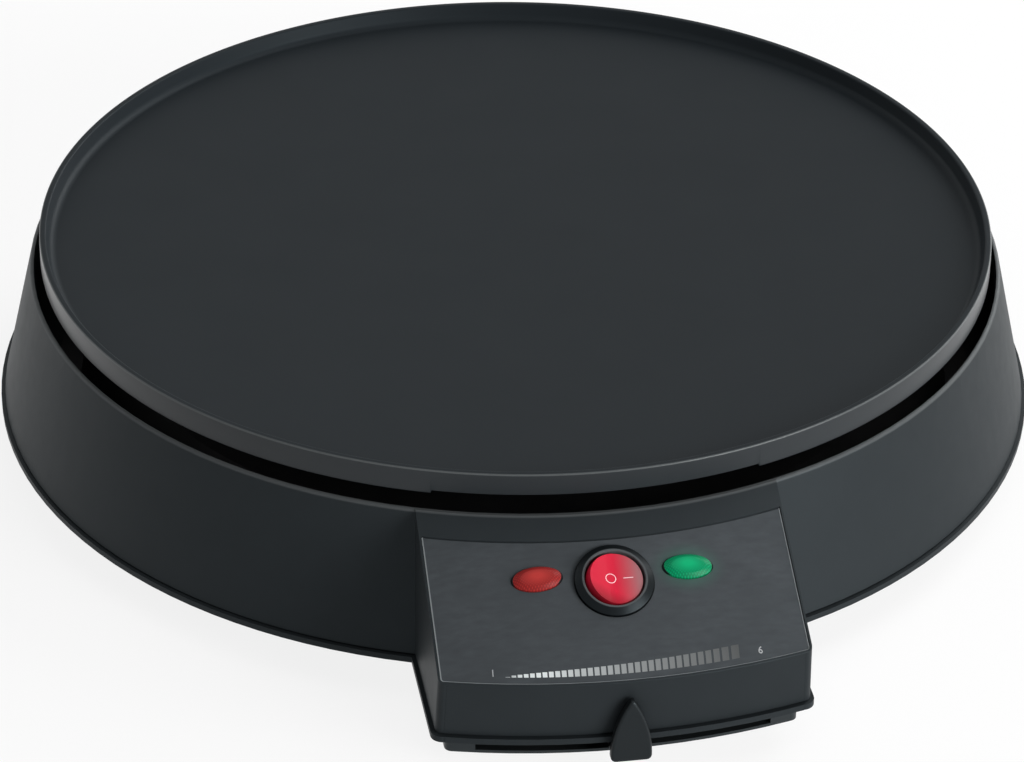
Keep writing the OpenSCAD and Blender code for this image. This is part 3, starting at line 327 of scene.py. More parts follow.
@dataclass(frozen=True)
class SpeckledCoating(Finish):
    """A non-stick coating: fine orange peel, a few pale specks, a painted highlight along the crest, glossy
    sides.

    Specks are speck_mm wide. The painted highlight lies outside edge_r and above edge_z, round axis, with
    soft_mm to fade in. The sides lie outside side_r, and have a coat of their own.
    """

    speck_color: Color = (0.09, 0.095, 0.1)
    speck_mm: float = 0.5
    speck_pitch_mm: float = 26.0
    axis: Place = ORIGIN
    edge_r: float = 149.45
    edge_z: float = 69.45
    crest_highlight_color: Color = (0.06, 0.066, 0.068)
    soft_mm: float = 0.2
    side_r: float = 149.7
    side_ior: float = 1.32
    side_roughness: float = 0.3

    def constants(self) -> Inputs:
        """Adds the coat of the sides."""
        return {**super().constants(), "Coat IOR": self.side_ior, "Coat Roughness": self.side_roughness}

    def extras(self, graph: Graph) -> Inputs:
        """Lays the coat on the sides only."""
        return {"Coat Weight": graph.radius(self.axis).past(self.side_r, self.soft_mm)}

    def tint(self, graph: Graph, where: Socket) -> Value:
        """The mottled color with specks, and a painted highlight on the outer edge of the crest."""
        speck = graph.cells(where, self.speck_pitch_mm) < self.speck_mm / 2 / self.speck_pitch_mm
        specked = graph.mix(speck, super().tint(graph, where), self.speck_color)
        # painted highlight: the crest's outer edge is paled where light would catch it
        outside = graph.radius(self.axis).past(self.edge_r, self.soft_mm)
        crest_highlight = outside * graph.height().past(self.edge_z, self.soft_mm)
        return graph.mix(crest_highlight, specked, self.crest_highlight_color)


@dataclass(frozen=True)
class LippedPlastic(Finish):
    """Moulded plastic with a painted highlight on its lip, above lip_z and inside lip_r round axis."""

    axis: Place = ORIGIN
    lip_r: float = 154.2
    lip_z: float = 57.2
    soft_mm: float = 0.5
    lip_highlight_color: Color = (0.056, 0.06, 0.062)

    def tint(self, graph: Graph, where: Socket) -> Value:
        """The mottled color with the painted highlight on the lip."""
        # painted highlight along the top edge of the housing
        inside = ((self.lip_r - graph.radius(self.axis)) / self.soft_mm).clamped()
        lip = graph.height().past(self.lip_z, self.soft_mm) * inside
        return graph.mix(lip, super().tint(graph, where), self.lip_highlight_color)


@dataclass(frozen=True)
class CastLens(Finish):
    """A clear coloured lens, lit from behind, with a cross-cut back and painted shade round its rim, rim_mm
    wide.

    centre is the middle of the lens in metres; half_length and half_width are millimetres along X and Y. The
    middle, out to middle_share of the lens, loses the pattern. The gains say how fast middle and rim set in.
    """

    facet_mm: float = 0.9
    facet_lean: float = 1.1
    centre: Place = ORIGIN
    half_length: float = 7.3
    half_width: float = 3.9
    deep: Color = (0.0, 0.0, 0.0)
    middle_share: float = 0.85
    middle_gain: float = 1.5
    rim_mm: float = 0.4
    rim_gain: float = 6.0
    rim_shade_color: Color = (0.006, 0.007, 0.008)

    def ground(self, graph: Graph) -> Socket:
        """Coordinates from the middle of the lens."""
        return graph.place(centre=self.centre)

    def facets(self, graph: Graph, where: Socket) -> Signal:
        """The cross-cut ribs, 0 in their valleys and 1 on their ridges."""
        across, along = graph.axis(where, "X"), graph.axis(where, "Y") * self.facet_lean
        half_pitch = self.facet_mm * MM / 2
        return (across + along).zigzag(half_pitch) * (across - along).zigzag(half_pitch)

    def tint(self, graph: Graph, where: Socket) -> Value:
        """The lens color, darker in the valleys of its ribs, which show most away from the middle, with
        painted shade at its rim.
        """
        oval = graph.place((1.0, self.half_length / self.half_width, 0.0), self.centre)
        distance = graph.length(oval)
        middle = ((self.middle_share - distance / self.half_length) * self.middle_gain).clamped()
        body = graph.mix(self.facets(graph, where).most(middle), self.deep, self.color)
        # painted shade: the lens's rim darkens where its seat in the label lies in shadow
        rim = ((distance - (self.half_length - self.rim_mm)) * self.rim_gain).clamped()
        return graph.mix(rim, body, self.rim_shade_color)


@dataclass(frozen=True)
class LitRocker(Finish):
    """Translucent red plastic, lit from inside, with a painted sheen on its right side and painted shade down
    its wall.

    centre is the rocker's pivot in metres, and slope the panel's. pale, a painted sheen, is reached reach_mm
    to the right of the pivot. deep, painted shade, is reached on the wall, lower than wall_top_mm above the
    pivot, and up to front_share at the front left, over front_fade_mm from front_from_mm on. front_ahead and
    front_across give that way.
    """

    centre: Place = ORIGIN
    slope: float = 0.0
    pale: Color = (0.0, 0.0, 0.0)
    painted_sheen_power: float = 1.5
    deep: Color = (0.0, 0.0, 0.0)
    reach_mm: float = 7.0
    wall_top_mm: float = 1.7
    wall_gain: float = 2.0
    front_ahead: float = 0.87
    front_across: float = 0.5
    front_from_mm: float = 3.6
    front_fade_mm: float = 4.4
    front_share: float = 0.8

    def ground(self, graph: Graph) -> Socket:
        """Coordinates from the pivot, square to the panel."""
        return graph.leaning(self.centre, self.slope)

    def tint(self, graph: Graph, where: Socket) -> Value:
        """Pure red at the left, a painted sheen to the right, painted shade down its side and front."""
        right, back, up = (graph.axis(where, name) / MM for name in "XYZ")
        # painted sheen, growing towards the right
        painted_sheen_share = (right / self.reach_mm).clamped() ** self.painted_sheen_power
        top = graph.mix(painted_sheen_share, super().tint(graph, where), self.pale)
        # painted shade on the front left and low on the wall
        ahead = -self.front_ahead * back - self.front_across * right
        front = ahead.past(self.front_from_mm, self.front_fade_mm) * self.front_share
        low = ((self.wall_top_mm - up) * self.wall_gain).clamped()
        return graph.mix(front.most(low), top, self.deep)


@dataclass(frozen=True)
class BezelPlastic(Finish):
    """Black plastic with a painted highlight on the land round the rocker, out to land_mm from centre, in
    metres.
    """

    centre: Place = ORIGIN
    slope: float = 0.0
    land_mm: float = 9.6
    land_gain: float = 4.0
    land_highlight_color: Color = (0.066, 0.07, 0.073)

    def tint(self, graph: Graph, where: Socket) -> Value:
        """The mottled color with the painted highlight on the land."""
        local = graph.leaning(self.centre, self.slope)
        flat = graph.node("ShaderNodeVectorMath", {"operation": "MULTIPLY"}, {0: local, 1: IN_PLAN})
        # painted highlight on the land round the rocker
        land = ((self.land_mm - graph.length(flat.outputs[0])) * self.land_gain).clamped()
        return graph.mix(land, super().tint(graph, where), self.land_highlight_color)


@dataclass(frozen=True)
class PaintedGlowFilm(Finish):
    """Printed panel film with the glow of a lit lens painted round it.

    centre is the lens's middle in metres, and the painted glow fades out over reach_mm round it, more slowly
    across.
    The print's color is streaked by a share, in streaks smear_mm wide, and dulled in patches.
    """

    centre: Place = ORIGIN
    painted_glow_color: Color = (0.0, 0.0, 0.0)
    painted_glow_stretch: Place = (0.75, 1.0, 1.0)
    painted_glow_power: float = 2.0
    reach_mm: float = 9.5
    smear_mm: float = 1.6
    smear_stretch: Place = (0.35, 1.0, 1.0)
    streak: float = 0.34
    dull: float = 0.74

    def tint(self, graph: Graph, where: Socket) -> Value:
        """Streaky grey with the painted glow of the lens on top."""
        distance = graph.length(graph.place(self.painted_glow_stretch, self.centre))
        # painted light: the lamp's glow on the film is painted into its color
        glow = (1.0 - distance / self.reach_mm).clamped() ** self.painted_glow_power
        streaks = graph.noise(graph.place(self.smear_stretch), self.smear_mm, 5.0)
        low, high = darker(self.color, 1.0 - self.streak), darker(self.color, 1.0 + self.streak)
        base = graph.mix(streaks, low, high)
        patches = graph.mix(graph.noise(where, self.mottle_mm, 4.0), base, darker(self.color, self.dull))
        return graph.mix(glow, patches, self.painted_glow_color)


@dataclass(frozen=True)
class FadingInk(Finish):
    """Print whose color runs through stops round axis, from first to last degrees of straight ahead."""

    axis: Place = ORIGIN
    first: float = -1.0
    last: float = 1.0
    stops: tuple[tuple[float, Color], ...] = ()

    def tint(self, graph: Graph, where: Socket) -> Value:
        """The color at this angle."""
        local = graph.place(centre=self.axis)
        bearing = graph.axis(local, "X").bearing(0.0 - graph.axis(local, "Y"))
        share = (bearing - math.radians(self.first)) / math.radians(self.last - self.first)
        return graph.node("ShaderNodeValToRGB", {"stops": self.stops}, {"Fac": share}).outputs["Color"]


@dataclass(frozen=True)
class WovenSleeve(Finish):
    """A braided glass-fibre sleeve whose threads are thread_mm wide, and deep by a share of that."""

    thread_mm: float = 0.8
    thread_share: float = 0.3

    def relief(self, graph: Graph, where: Socket) -> Socket:
        """The normal with crossing threads on it."""
        inputs = {"Vector": where, "Scale": 1.0 / (self.thread_mm * MM) / math.tau}
        waves = [graph.signal("ShaderNodeTexWave", {"bands_direction": way}, inputs) for way in "XY"]
        return graph.bump(waves[0] * waves[1], self.thread_mm * self.thread_share)


@dataclass(frozen=True)
class ClearGlass(Finish):
    """The thin glass of a neon bulb, which lets through a share of the light."""

    clear: float = 0.85

    def constants(self) -> Inputs:
        """Lets light through."""
        return {**super().constants(), "Transmission Weight": self.clear}


class Plastic(Enum):
    """Finishes of the moulded, printed and rubber pieces."""

    LEVER = Finish(
        "lever_plastic", (0.0072, 0.0084, 0.0092), 0.42, ior=1.28, sheen_tint=COOL, grain_depth=0.005
    )
    GLAND = Finish("gland_plastic", (0.011, 0.011, 0.012), 0.5, ior=1.35)
    RUBBER = Finish("foot_rubber", (0.014, 0.014, 0.014), 0.75, ior=1.35, grain_mm=0.8, grain_depth=0.03)
    CERAMIC = Finish("ceramic", (0.68, 0.64, 0.55), 0.65, mottle_mm=3.0, grain_depth=0.02)
    PHASE = Finish("lead_brown", (0.12, 0.05, 0.02), 0.45, mottle_mm=4.0)
    HEATER = Finish("lead_cream", (0.62, 0.56, 0.42), 0.5, mottle_mm=4.0)
    EARTH = Finish("lead_green", (0.2, 0.42, 0.05), 0.45, mottle_mm=4.0)
    SLEEVE = WovenSleeve("sleeve_fibre", (0.6, 0.55, 0.42), 0.8, mottle_mm=2.0)
    GLASS = ClearGlass("bulb_glass", (0.9, 0.87, 0.84), 0.06, gloss_spread=0.02, mottle=0.03)


class Metal(Enum):
    """Finishes of the metal pieces."""

    COVER = Finish(
        "cover_paint", (0.0095, 0.0108, 0.0116), 0.42, ior=1.4, sheen_tint=COOL,
        grain_mm=0.9, grain_depth=0.02,
    )
    SCREW = Finish("screw_steel", (0.52, 0.53, 0.55), 0.32, metallic=1.0, mottle_mm=1.5)
    TUBE = Finish("tube_steel", (0.2, 0.19, 0.18), 0.42, metallic=1.0, mottle=0.25, mottle_mm=14.0)
    SHIELD = Finish(
        "shield_steel", (0.05, 0.05, 0.052), 0.6, "sheet_steel", metallic=1.0, mottle=0.3, mottle_mm=20.0
    )
    SHEET = Finish(
        "sheet_steel", (0.5, 0.51, 0.52), 0.38, metallic=1.0, mottle_mm=5.0, stretch=(0.15, 1.0, 1.0)
    )
    ARM = Finish("lever_steel", (0.42, 0.43, 0.44), 0.36, metallic=1.0, stretch=(1.0, 0.15, 1.0))
    BRASS = Finish("brass", (0.6, 0.43, 0.16), 0.34, metallic=1.0, mottle_mm=3.0)
    BIMETAL = Finish("bimetal", (0.5, 0.39, 0.22), 0.4, metallic=1.0, stretch=(0.2, 1.0, 1.0))
    SPRING = Finish("spring_copper", (0.55, 0.28, 0.14), 0.36, metallic=1.0, stretch=(0.2, 1.0, 1.0))


NODE_FINISHES: dict[Union[Plastic, Metal], tuple[str, ...]] = {
    Plastic.GLAND: ("cord_gland", "gland_nut"),
    Plastic.RUBBER: ("foot_1", "foot_2", "foot_3", "foot_4"),
    Plastic.CERAMIC: ("element_insulators", "thermostat_insulators", "terminal_block"),
    Plastic.PHASE: ("mains_leads",),
    Plastic.HEATER: ("heater_leads",),
    Plastic.EARTH: ("earth_lead",),
    Plastic.SLEEVE: ("fuse_sleeve",),
    Plastic.GLASS: ("switch_neon", "red_neon", "green_neon"),
    Metal.COVER: ("bottom_cover",),
    Metal.SCREW: (
        "clamp_screws", "shield_screws", "plate_screws", "plate_spacers", "thermostat_screws",
        "thermostat_rivet", "thermostat_shaft", "lever_nut", "block_screws", "cover_screws",
        "element_pins", "thermal_fuse",
    ),
    Metal.TUBE: ("heating_element",),
    Metal.SHIELD: ("heat_shield",),
    Metal.SHEET: ("element_clamps", "thermostat_frame", "fuse_clip"),
    Metal.ARM: ("lever_arm",),
    Metal.BRASS: ("switch_terminals", "terminal_screws", "earth_tab"),
    Metal.BIMETAL: ("thermostat_bimetal",),
    Metal.SPRING: ("thermostat_contacts",),
}


# ---------- mesh tools ----------


def softened(corners: Sequence[tuple[float, float, float]], steps: int) -> list[Point]:
    """Rounds the corners of an open outline.

    Args:
        corners: (x, y, radius) of each corner, a radius of 0 being sharp, as the first and last have to be.
        steps: the number of steps in each rounding.

    Returns:
        The outline's points.
    """
    points: list[Point] = []
    for index, (x, y, radius) in enumerate(corners):
        if radius <= 0:
            points.append((x, y))
            continue
        here = Vector((x, y))
        back = (Vector(corners[index - 1][:2]) - here).normalized()
        ahead = (Vector(corners[index + 1][:2]) - here).normalized()
        half = math.acos(max(-1.0, min(1.0, back.dot(ahead)))) / 2
        centre = here + (back + ahead).normalized() * radius / math.sin(half)
        start, end = here + back * radius / math.tan(half), here + ahead * radius / math.tan(half)
        first = math.atan2(*reversed(start - centre))
        turn = math.remainder(math.atan2(*reversed(end - centre)) - first, math.tau)
        for step in range(steps + 1):
            angle = first + turn * step / steps
            points.append((centre.x + radius * math.cos(angle), centre.y + radius * math.sin(angle)))
    return points


def spun(
    outline: Sequence[Point], steps: int, angle: float = 360.0, start: float = 0.0, closed: bool = False
) -> Shape:
    """Spins an outline of (radius, height) points round the Z axis.

    Args:
        outline: the points, from the axis out and back, or a loop when closed.
        steps: the number of steps round.
        angle: how far it goes round, in degrees.
        start: where it starts, in degrees from +X.
        closed: whether the outline is a loop.

    Returns:
        The closed mesh.
    """
    mesh = bmesh.new()
    turn = Matrix.Rotation(math.radians(start), 4, "Z")
    verts = [mesh.verts.new(turn @ Vector((r, 0.0, z))) for r, z in outline]
    pairs = list(zip(verts, verts[1:])) + ([(verts[-1], verts[0])] if closed else [])
    geom = verts + [mesh.edges.new(pair) for pair in pairs]
    whole = angle >= 360.0
    bmesh.ops.spin(
        mesh, geom=geom, cent=ORIGIN, axis=(0, 0, 1), angle=math.radians(angle), steps=steps, use_merge=whole
    )
    bmesh.ops.remove_doubles(mesh, verts=mesh.verts, dist=MERGE_MM)
    if not whole:
        bmesh.ops.holes_fill(mesh, edges=[e for e in mesh.edges if e.is_boundary], sides=0)
    bmesh.ops.recalc_face_normals(mesh, faces=mesh.faces)
    return mesh


def raised(mesh: Shape, faces: Sequence[bmesh.types.BMFace], height: float) -> Shape:
    """mesh, with these flat faces of it made a solid by height."""
    top = bmesh.ops.extrude_face_region(mesh, geom=faces)["geom"]
    bmesh.ops.translate(mesh, verts=[g for g in top if isinstance(g, bmesh.types.BMVert)], vec=(0, 0, height))
    bmesh.ops.recalc_face_normals(mesh, faces=mesh.faces)
    return mesh


def prism(outline: Sequence[Point], height: float) -> Shape:
    """A flat outline in X and Y, raised by height."""
    mesh = bmesh.new()
    return raised(mesh, [mesh.faces.new([mesh.verts.new((x, y, 0.0)) for x, y in outline])], height)


def ribbon(outer: Sequence[Vector], inner: Sequence[Vector], height: float) -> Shape:
    """A flat strip between two rows of points, raised by height."""
    mesh = bmesh.new()
    rows = [[mesh.verts.new((point.x, point.y, 0.0)) for point in row] for row in (outer, inner)]
    edges = [mesh.edges.new(pair) for row in rows for pair in zip(row, row[1:])]
    return raised(mesh, bmesh.ops.bridge_loops(mesh, edges=edges)["faces"], height)


def drum(radius: float, low: float, high: float, x: float = 0.0, y: float = 0.0) -> Shape:
    """An upright cylinder between two heights."""
    mesh = bmesh.new()
    place = Matrix.Translation((x, y, (low + high) / 2))
    bmesh.ops.create_cone(
        mesh, cap_ends=True, segments=48, radius1=radius, radius2=radius, depth=high - low, matrix=place
    )
    return mesh


def rounded_edges(
    mesh: Shape, wanted: Callable[[bmesh.types.BMEdge], bool], width: float, segments: int
) -> None:
    """Rounds the wanted edges of mesh over width on each side."""
    edges = [edge for edge in mesh.edges if wanted(edge)]
    bmesh.ops.bevel(
        mesh, geom=edges, offset=width, offset_type="OFFSET", segments=segments, profile=0.5,
        affect="EDGES", clamp_overlap=True, material=-1,
    )


def held_flat(mesh: Shape, area: float, rim: float = 0.15, merge: float = 0.02) -> None:
    """Keeps the shading of faces larger than area flat, with a narrow rim of their own inside each."""
    bmesh.ops.remove_doubles(mesh, verts=mesh.verts, dist=merge)
    large = [face for face in mesh.faces if face.calc_area() > area]
    bmesh.ops.inset_individual(mesh, faces=large, thickness=rim, depth=0.0, use_even_offset=True)


def sliced(mesh: Shape, point: Sequence[float], normal: Sequence[float]) -> None:
    """Cuts a loop round mesh where a plane meets it, and keeps both sides."""
    geom = mesh.verts[:] + mesh.edges[:] + mesh.faces[:]
    bmesh.ops.bisect_plane(mesh, geom=geom, dist=MERGE_MM, plane_co=point, plane_no=normal)


def moved(mesh: Shape, place: Matrix) -> Shape:
    """mesh, moved to place."""
    bmesh.ops.transform(mesh, matrix=place, verts=mesh.verts)
    return mesh


def baked(name: str, mesh: Shape) -> bpy.types.Mesh:
    """Mesh data that holds mesh, which is freed."""
    data = bpy.data.meshes.new(name)
    mesh.to_mesh(data)
    mesh.free()
    return data


def joined(meshes: Iterable[Shape]) -> Shape:
    """One mesh that holds all of meshes, which are freed."""
    whole = bmesh.new()
    for mesh in meshes:
        data = baked("part", mesh)
        whole.from_mesh(data)
        bpy.data.meshes.remove(data)
    return whole


def placed(name: str, data: bpy.types.ID) -> bpy.types.Object:
    """A new object with this data, linked to the scene."""
    made = bpy.data.objects.new(name, data)
    bpy.context.scene.collection.objects.link(made)
    return made


# ---------- the machine's layout ----------


@dataclass(frozen=True)
class Panel:
    """The sloping panel: a cone round the plate's axis that carries label, switch, lamps and scale."""

    top_r: float = 153.4
    top_z: float = 58.2
    slope: float = 27.8
    label_depth: float = 0.4
    label_r0: float = 161.0
    label_r1: float = 201.25
    label_margin: float = 0.75
    label_corner: float = 1.2
    corner_steps: int = 8
    box_half: float = 53.3
    box_lean: float = 1.5 / 43.8
    switch_r: float = 173.1
    lamp_r: float = 171.6
    lamp_x: float = 22.0

    def height(self, r: float) -> float:
        """Height of the panel at radius r."""
        return self.top_z - (r - self.top_r) * math.tan(math.radians(self.slope))

    def film(self, r: float) -> float:
        """Height of the label's face at radius r."""
        return self.height(r) - self.label_depth / math.cos(math.radians(self.slope))

    def label_half(self, r: float) -> float:
        """Half width of the label at radius r, which widens with the box."""
        return self.box_half + self.box_lean * (self.top_z - self.height(r)) - self.label_margin

    def label_rim(self, inset: float, steps: int = 40) -> list[Vector]:
        """Points along the label's left side, front and right side, inset from its edge, in plan."""
        corner, front = self.label_corner - inset, self.label_r1 - inset
        side_x = self.label_half(self.label_r1) - inset
        centre = Vector((side_x - corner, -math.sqrt((front - corner) ** 2 - (side_x - corner) ** 2)))
        turn = math.atan2(centre.y, centre.x)
        back_y = -math.sqrt(self.label_r0**2 - self.label_half(self.label_r0) ** 2)
        right = []
        for step in range(steps + 1):
            y = centre.y + (back_y - centre.y) * (1 - step / steps)
            right.append(Vector((self.label_half(math.hypot(side_x, y)) - inset, y)))
        for step in range(1, self.corner_steps + 1):
            angle = turn * step / self.corner_steps
            right.append(centre + corner * Vector((math.cos(angle), math.sin(angle))))
        for step in range(1, steps + 1):
            angle = turn + (-math.pi / 2 - turn) * step / steps
            right.append(front * Vector((math.cos(angle), math.sin(angle))))
        left = [Vector((-point.x, point.y)) for point in right]
        return left[:-1] + right[::-1]

    def spot(self, angle: float, r: float) -> Matrix:
        """Place on the panel with +Z out of it and -Y down the slope, angle degrees from the middle."""
        return (
            Matrix.Rotation(math.radians(angle), 4, "Z")
            @ Matrix.Translation((0, -r, self.height(r)))
            @ Matrix.Rotation(math.radians(self.slope), 4, "X")
        )

    def switch(self) -> Matrix:
        """Place of the switch."""
        return self.spot(0.0, self.switch_r)

    def lamp(self, side: int) -> Matrix:
        """Place of a lamp, level with the box: side -1 is the red one and 1 the green."""
        angle = math.degrees(math.asin(self.lamp_x / self.lamp_r)) * side
        return self.spot(angle, self.lamp_r) @ Matrix.Rotation(math.radians(-angle), 4, "Z")

    def draped(self, mesh: Shape) -> Shape:
        """mesh, drawn flat in X and Y, laid on the label's face."""
        for vert in mesh.verts:
            vert.co.z += self.film(math.hypot(vert.co.x, vert.co.y))
        return mesh


@dataclass
class Bench:
    """Turns meshes into pieces of the machine, on the plate's axis, which stands at axis_y in millimetres."""

    nodes: dict[str, bpy.types.Object]
    axis_y: float
    panel: Panel = field(default_factory=Panel)
    level_degrees: float = 0.3

    def metres(self, place: Matrix) -> Place:
        """The point of a place on the machine, in metres in the model's frame."""
        point = (Matrix.Translation((0, self.axis_y, 0)) @ place).translation * MM
        return (point.x, point.y, point.z)

    def axis(self) -> Place:
        """The foot of the plate's axis, in metres in the model's frame."""
        return self.metres(Matrix.Identity(4))

    def piece(
        self,
        name: str,
        mesh: Shape,
        finish: Finish,
        body: str = "base",
        replaces: Sequence[str] = (),
        smooth: float = 30.0,
    ) -> bpy.types.Object:
        """Makes one piece.

        Args:
            name: the piece's name.
            mesh: its mesh in millimetres from the plate's axis, which is freed.
            finish: its finish.
            body: the body that it moves with.
            replaces: the CAD nodes that it stands for.
            smooth: edges that turn by fewer degrees are shaded smooth.

        Returns:
            The new object.
        """
        moved(mesh, Matrix.Scale(MM, 4) @ Matrix.Translation((0, self.axis_y, 0)))
        for face in mesh.faces:
            face.smooth = True
        for edge in mesh.edges:
            edge.smooth = len(edge.link_faces) == 2 and edge.calc_face_angle(0.0) < math.radians(smooth)
        made = placed(name, baked(name, mesh))
        made.data.materials.append(finish.material())
        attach(made, body)
        if replaces:
            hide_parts(*replaces)
        LOG.info("%s: %d faces, %s", name, len(made.data.polygons), finish.name)
        return made

    def copy_of(self, node: str) -> Shape:
        """The mesh of a CAD node in millimetres from the plate's axis, its triangles joined up.

        Faces that differ by less than level_degrees are made one.
        """
        mesh = bmesh.new()
        mesh.from_mesh(self.nodes[node].data)
        moved(mesh, Matrix.Translation((0, -self.axis_y, 0)) @ Matrix.Scale(1 / MM, 4))
        bmesh.ops.remove_doubles(mesh, verts=mesh.verts, dist=MERGE_MM)
        limit = math.radians(self.level_degrees)
        bmesh.ops.dissolve_limit(
            mesh, angle_limit=limit, verts=mesh.verts, edges=mesh.edges, use_dissolve_boundaries=False
        )
        return mesh


# ---------- sub-assemblies ----------


@dataclass
class BakingPlate:
    """The cast plate: tray with an upright rim, a notch over the control box, and its underside."""

    radius: float = 150.0
    under_z: float = 61.4
    rim_z: float = 62.0
    crest_z: float = 70.0
    surface_z: float = 64.8
    rim_w: float = 2.0
    foot_r: float = 0.5
    step_in: float = 6.0
    step_out: float = 4.0
    wall_lean: float = 1.4
    crest_outer_r: float = 0.4
    crest_inner_r: float = 0.6
    tray_fillet: float = 2.5
    notch_h: float = 1.2
    notch_half: float = 18.8
    notch_ramp: float = 0.1
    notch_in: float = 147.6
    steps: int = 360
    ring_r: float = 98.0
    ring_drop: float = 5.0
    groove_r: float = 3.6
    ridge_half: float = 7.0
    ring_gap: float = 50.0
    ring_end: float = 4.0
    sunk: float = 0.5
    pad_r: float = 25.0
    pad_drop: float = 2.0
    post_angles: tuple[float, ...] = (90, 210, 330)
    post_circle_r: float = 60.0
    post_r: float = 6.0
    post_drop: float = 4.4
    clamp_angles: tuple[float, ...] = (20, 160, 235, 305)
    clamp_inset: float = 14.0
    clamp_r: float = 4.5
    clamp_drop: float = 3.5
    color: Color = (0.0122, 0.0152, 0.0176)

    def outline(self) -> list[Point]:
        """Half section of the plate, from the axis along its underside and back over the tray."""
        edge, inner = self.radius, self.radius - self.rim_w
        return softened(
            [
                (0.0, self.under_z, 0),
                (edge - self.step_in, self.under_z, 0),
                (edge - self.step_out, self.rim_z, 0),
                (self.notch_in - 0.1, self.rim_z, 0),
                (self.notch_in, self.rim_z, 0),
                (edge, self.rim_z, self.foot_r),
                (edge, self.crest_z, self.crest_outer_r),
                (inner, self.crest_z, self.crest_inner_r),
                (inner - self.wall_lean, self.surface_z, self.tray_fillet),
                (0.0, self.surface_z, 0),
            ],
            steps=8,
        )

    def tray(self) -> Shape:
        """The spun plate with the notch raised in the foot of its rim."""
        mesh = spun(self.outline(), self.steps)
        for side in (-1, 1):
            for ramp in (0.0, self.notch_ramp):
                angle = math.radians(side * (self.notch_half + ramp))
                sliced(mesh, ORIGIN, (math.cos(angle), math.sin(angle), 0))
        low = self.rim_z + self.notch_h
        reach = math.radians(self.notch_half + self.notch_ramp / 2)
        for vert in mesh.verts:
            r = math.hypot(vert.co.x, vert.co.y)
            turn = abs(math.atan2(vert.co.x, -vert.co.y))
            if r > self.notch_in - 0.05 and vert.co.z < low and turn < reach:
                vert.co.z = low
        return mesh

    @staticmethod
    def bosses(angles: Sequence[float], circle: float, radius: float, low: float, high: float) -> list[Shape]:
        """Upright bosses at these angles on a circle round the axis."""
        turns = [math.radians(angle) for angle in angles]
        return [drum(radius, low, high, circle * math.cos(turn), circle * math.sin(turn)) for turn in turns]

    def underside(self) -> list[Shape]:
        """The ridge that holds the heating tube, the middle pad and the screw bosses."""
        ring_z = self.under_z - self.ring_drop
        sunk = self.under_z + self.sunk
        arc = [
            (self.ring_r - self.groove_r * math.cos(a), ring_z + self.groove_r * math.sin(a))
            for a in (math.pi * step / 12 for step in range(13))
        ]
        inner, outer = self.ring_r - self.ridge_half, self.ring_r + self.ridge_half
        loop = [(inner, ring_z), *arc, (outer, ring_z), (outer, sunk), (inner, sunk)]
        gap = self.ring_gap + self.ring_end
        ridge = spun(loop, 180, 360.0 - gap, 90.0 + gap / 2, closed=True)
        pad = drum(self.pad_r, self.under_z - self.pad_drop, sunk)
        post_z, clamp_z = self.under_z - self.post_drop, ring_z - self.clamp_drop
        posts = self.bosses(self.post_angles, self.post_circle_r, self.post_r, post_z, sunk)
        clamps = self.bosses(self.clamp_angles, self.ring_r - self.clamp_inset, self.clamp_r, clamp_z, sunk)
        return [ridge, pad, *posts, *clamps]

    def build(self, bench: Bench) -> None:
        """Makes the plate."""
        coating = SpeckledCoating(
            "plate_coating", self.color, 0.46, ior=1.151, sheen_tint=COOL, mottle=0.07, mottle_mm=35.0,
            grain_mm=0.6, grain_depth=0.012, axis=bench.axis(),
        )
        mesh = joined([self.tray(), *self.underside()])
        bench.piece("crepe_plate", mesh, coating, replaces=["baking_plate"], smooth=35.0)


@dataclass
class Housing:
    """The moulded housing: conical skirt and control box, with its panel label."""

    color: Color = (0.0126, 0.0151, 0.0168)
    edge_w: float = 0.36
    edge_lift: float = 0.06
    loop_z: float = 56.9
    film: Color = (0.0545, 0.061, 0.0665)
    # glow: the green lamp's light on the label, painted into the film's color
    glow: Color = (0.045, 0.17, 0.12)
    # the pale line round the label is a painted highlight of the housing's edge
    edge_highlight_finish: Finish = Finish("label_edge_highlight", (0.19, 0.205, 0.212), 0.5, "label_film", ior=1.2, sheen_tint=COOL)

    def build(self, bench: Bench) -> None:
        """Makes the housing and its label."""
        mesh = bench.copy_of("base_housing")
        sliced(mesh, (0, 0, self.loop_z), (0, 0, 1))
        plastic = LippedPlastic(
            "housing_plastic", self.color, 0.5, ior=1.245, sheen_tint=COOL,
            grain_mm=0.35, grain_depth=0.008, axis=bench.axis(),
        )
        bench.piece("housing_shell", mesh, plastic, replaces=["base_housing"], smooth=22.0)
        film = PaintedGlowFilm(
            "label_film", self.film, 0.55, ior=1.12, sheen_tint=COOL, mottle_mm=14.0, grain_mm=0.4,
            grain_depth=0.006, centre=bench.metres(bench.panel.lamp(1)), painted_glow_color=self.glow,
        )
        label = bench.copy_of("control_label")
        bench.piece("panel_film", label, film, replaces=["control_label"], smooth=28.0)
        bench.piece("panel_edge_highlight", self.edge_highlight(bench.panel), self.edge_highlight_finish)

    def edge_highlight(self, panel: Panel) -> Shape:
        """A pale strip along the label's sides and front: a painted highlight of the edge where the label
        meets the housing.
        """
        return panel.draped(ribbon(panel.label_rim(0.0), panel.label_rim(self.edge_w), self.edge_lift))


